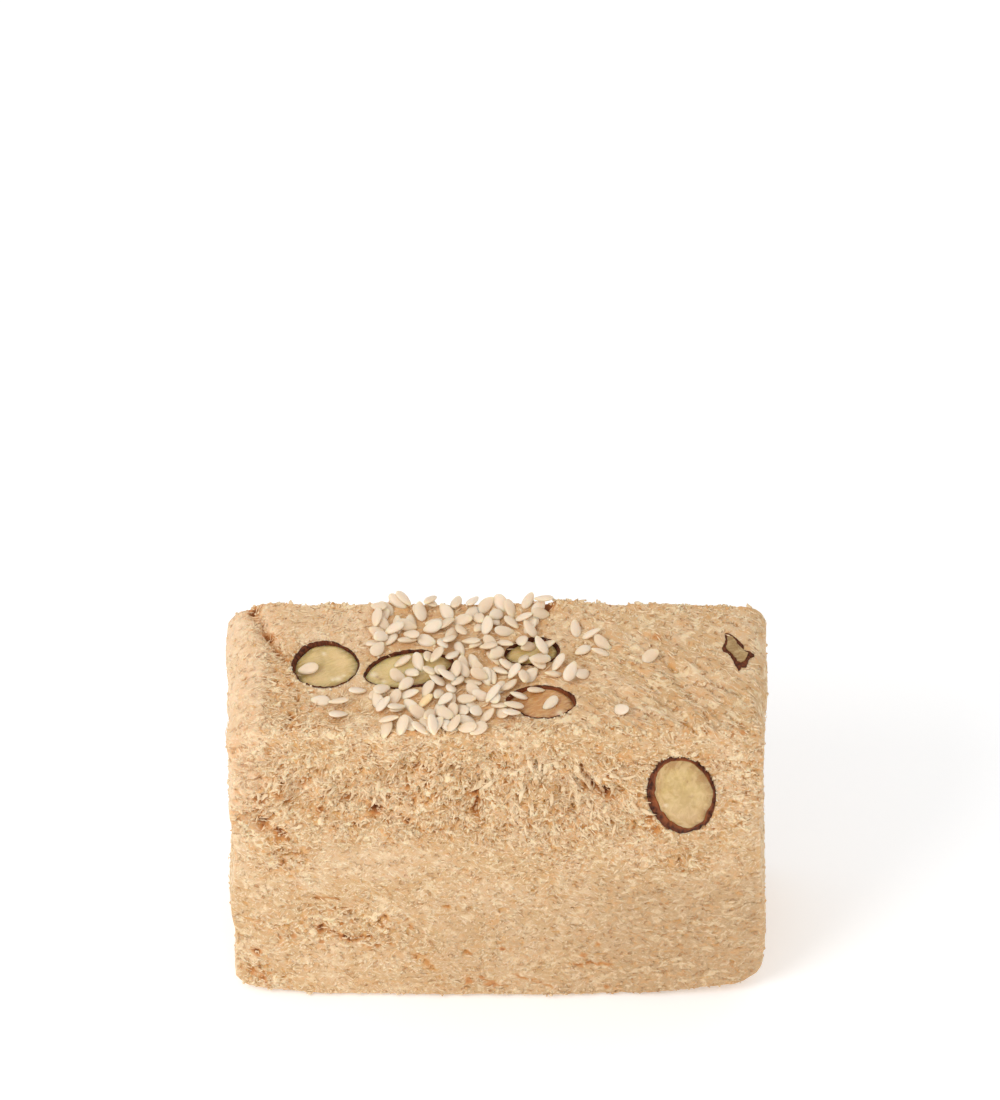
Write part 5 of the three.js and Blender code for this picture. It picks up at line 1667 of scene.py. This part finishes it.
def sesame_finish():
    """Hulled sesame: ivory and waxy, yellower at the tip, no two alike."""
    make = Finish("hulled_sesame")
    tone = make.tone("tone")
    colour = make.mix(make.span(tone, 0, 1), SEED_IVORY, SEED_CREAM)
    colour = make.over(colour, tone, 0.994, 0.996, 1, SEED_YELLOW)
    colour = make.over(colour, make.tone("tip"), 0, 1, 0.45, SEED_TIP)
    mottle = make.grain((0.5, 0.5, 0.5), detail=3)
    colour = make.over(colour, mottle, 0.5, 0.75, 0.3, SEED_MOTTLE)
    normal = make.bump(make.grain((0.3, 0.3, 0.3), detail=2), 0.035)
    return make.set(
        Base_Color=colour, Roughness=make.span(mottle, 0.3, 0.7, 0.3, 0.46), Normal=normal,
        Subsurface_Weight=1, Subsurface_Radius=(1.0, 0.86, 0.72), Subsurface_Scale=0.6 * MM,
        Specular_IOR_Level=0.5,
    )


def floor_finish():
    make = Finish("floor_white")
    return make.set(
        Base_Color=(0.94, 0.945, 0.95), Roughness=0.8, Specular_IOR_Level=0.2,
        Emission_Color=(1, 1, 1, 1), Emission_Strength=0.22,
    )


# ---- stage ----

CAMERA_PITCH = 46.5  # degrees that the line of sight to the slice falls below the horizon
CAMERA_DISTANCE = 1900  # to the front edge of the top
FRAME_WIDTH, FRAME_HEIGHT = 1000, 1100
PIXELS_PER_MM = 6.39  # at that edge
EDGE_PIXEL = (497, 735)  # where the middle of that edge stands in the frame
SENSOR_WIDTH = 36
CLOSEST, FARTHEST = 0.05, 20  # what the camera sees, in metres

# The stage's measures are in metres.
FLOOR_REACH = 3
ROOM_STRENGTH = 0.8
KEY_PLACE, KEY_AIM = (-0.25, -0.23, 0.36), (0, 0, 0.03)
KEY_SIZE, KEY_POWER = 0.24, 0.76


def add_camera():
    """A long lens that looks down on the slice, with the front edge of its top where it stands."""
    data = bpy.data.cameras.new("camera")
    camera = bpy.data.objects.new("camera", data)
    bpy.context.scene.collection.objects.link(camera)
    focal = CAMERA_DISTANCE * PIXELS_PER_MM  # in pixels
    data.sensor_width = SENSOR_WIDTH
    data.lens = focal * data.sensor_width / FRAME_HEIGHT
    right = (EDGE_PIXEL[0] - FRAME_WIDTH / 2) / focal
    down = (EDGE_PIXEL[1] - FRAME_HEIGHT / 2) / focal
    camera.rotation_euler = Euler((math.radians(90 - CAMERA_PITCH) + math.atan(down), 0, 0))
    ray = Vector((right, -down, -1))
    ray.rotate(camera.rotation_euler)
    edge = Vector((0, -HALF_THICKNESS, HEIGHT))
    camera.location = (edge - ray * CAMERA_DISTANCE) * MM
    data.clip_start, data.clip_end = CLOSEST, FARTHEST
    bpy.context.scene.camera = camera


def add_key_light():
    data = bpy.data.lights.new("key", "AREA")
    data.shape, data.size, data.energy = "DISK", KEY_SIZE, KEY_POWER
    lamp = bpy.data.objects.new("key", data)
    lamp.location = KEY_PLACE
    lamp.rotation_euler = (Vector(KEY_AIM) - Vector(KEY_PLACE)).to_track_quat("-Z", "Y").to_euler()
    bpy.context.scene.collection.objects.link(lamp)


def add_stage():
    bm = bmesh.new()
    bmesh.ops.create_grid(bm, x_segments=1, y_segments=1, size=FLOOR_REACH)
    mesh = bpy.data.meshes.new("floor")
    bm.to_mesh(mesh)
    bm.free()
    mesh.materials.append(floor_finish())
    floor = bpy.data.objects.new("floor", mesh)
    bpy.context.scene.collection.objects.link(floor)
    world = bpy.data.worlds.new("soft_room")
    world.use_nodes = True
    room = world.node_tree.nodes["Background"].inputs
    room["Color"].default_value = (1, 1, 1, 1)
    room["Strength"].default_value = ROOM_STRENGTH
    bpy.context.scene.world = world
    add_key_light()
    bpy.context.scene.view_settings.view_transform = "Standard"


# ---- the whole ----

kernel_look = kernel_finish("almond_kernel", KERNEL_SCATTER)
chip_look = kernel_finish("chip_kernel", CHIP_SCATTER)
skin_look = skin_finish()
halva = halva_body(halva_finish("halva_pressed", loose=False))
for almond in ALMONDS:
    kernel(almond, kernel_look)
    skin_ring(almond, skin_look)
chip_part("almond_chip_skin", CHIP_OUTLINE, CHIP_SKIN_REACH, skin_look, "almond_skin", warmth=CHIP_WARMTH)
chip_part("almond_chip_kernel", CHIP_FLESH, CHIP_FLESH_REACH, chip_look, "almond", flesh=CHIP_TONE)
sesame(sesame_finish())
add_loose_bits(Crust(halva), halva_finish("halva_loose", loose=True))
add_stage()
add_camera()
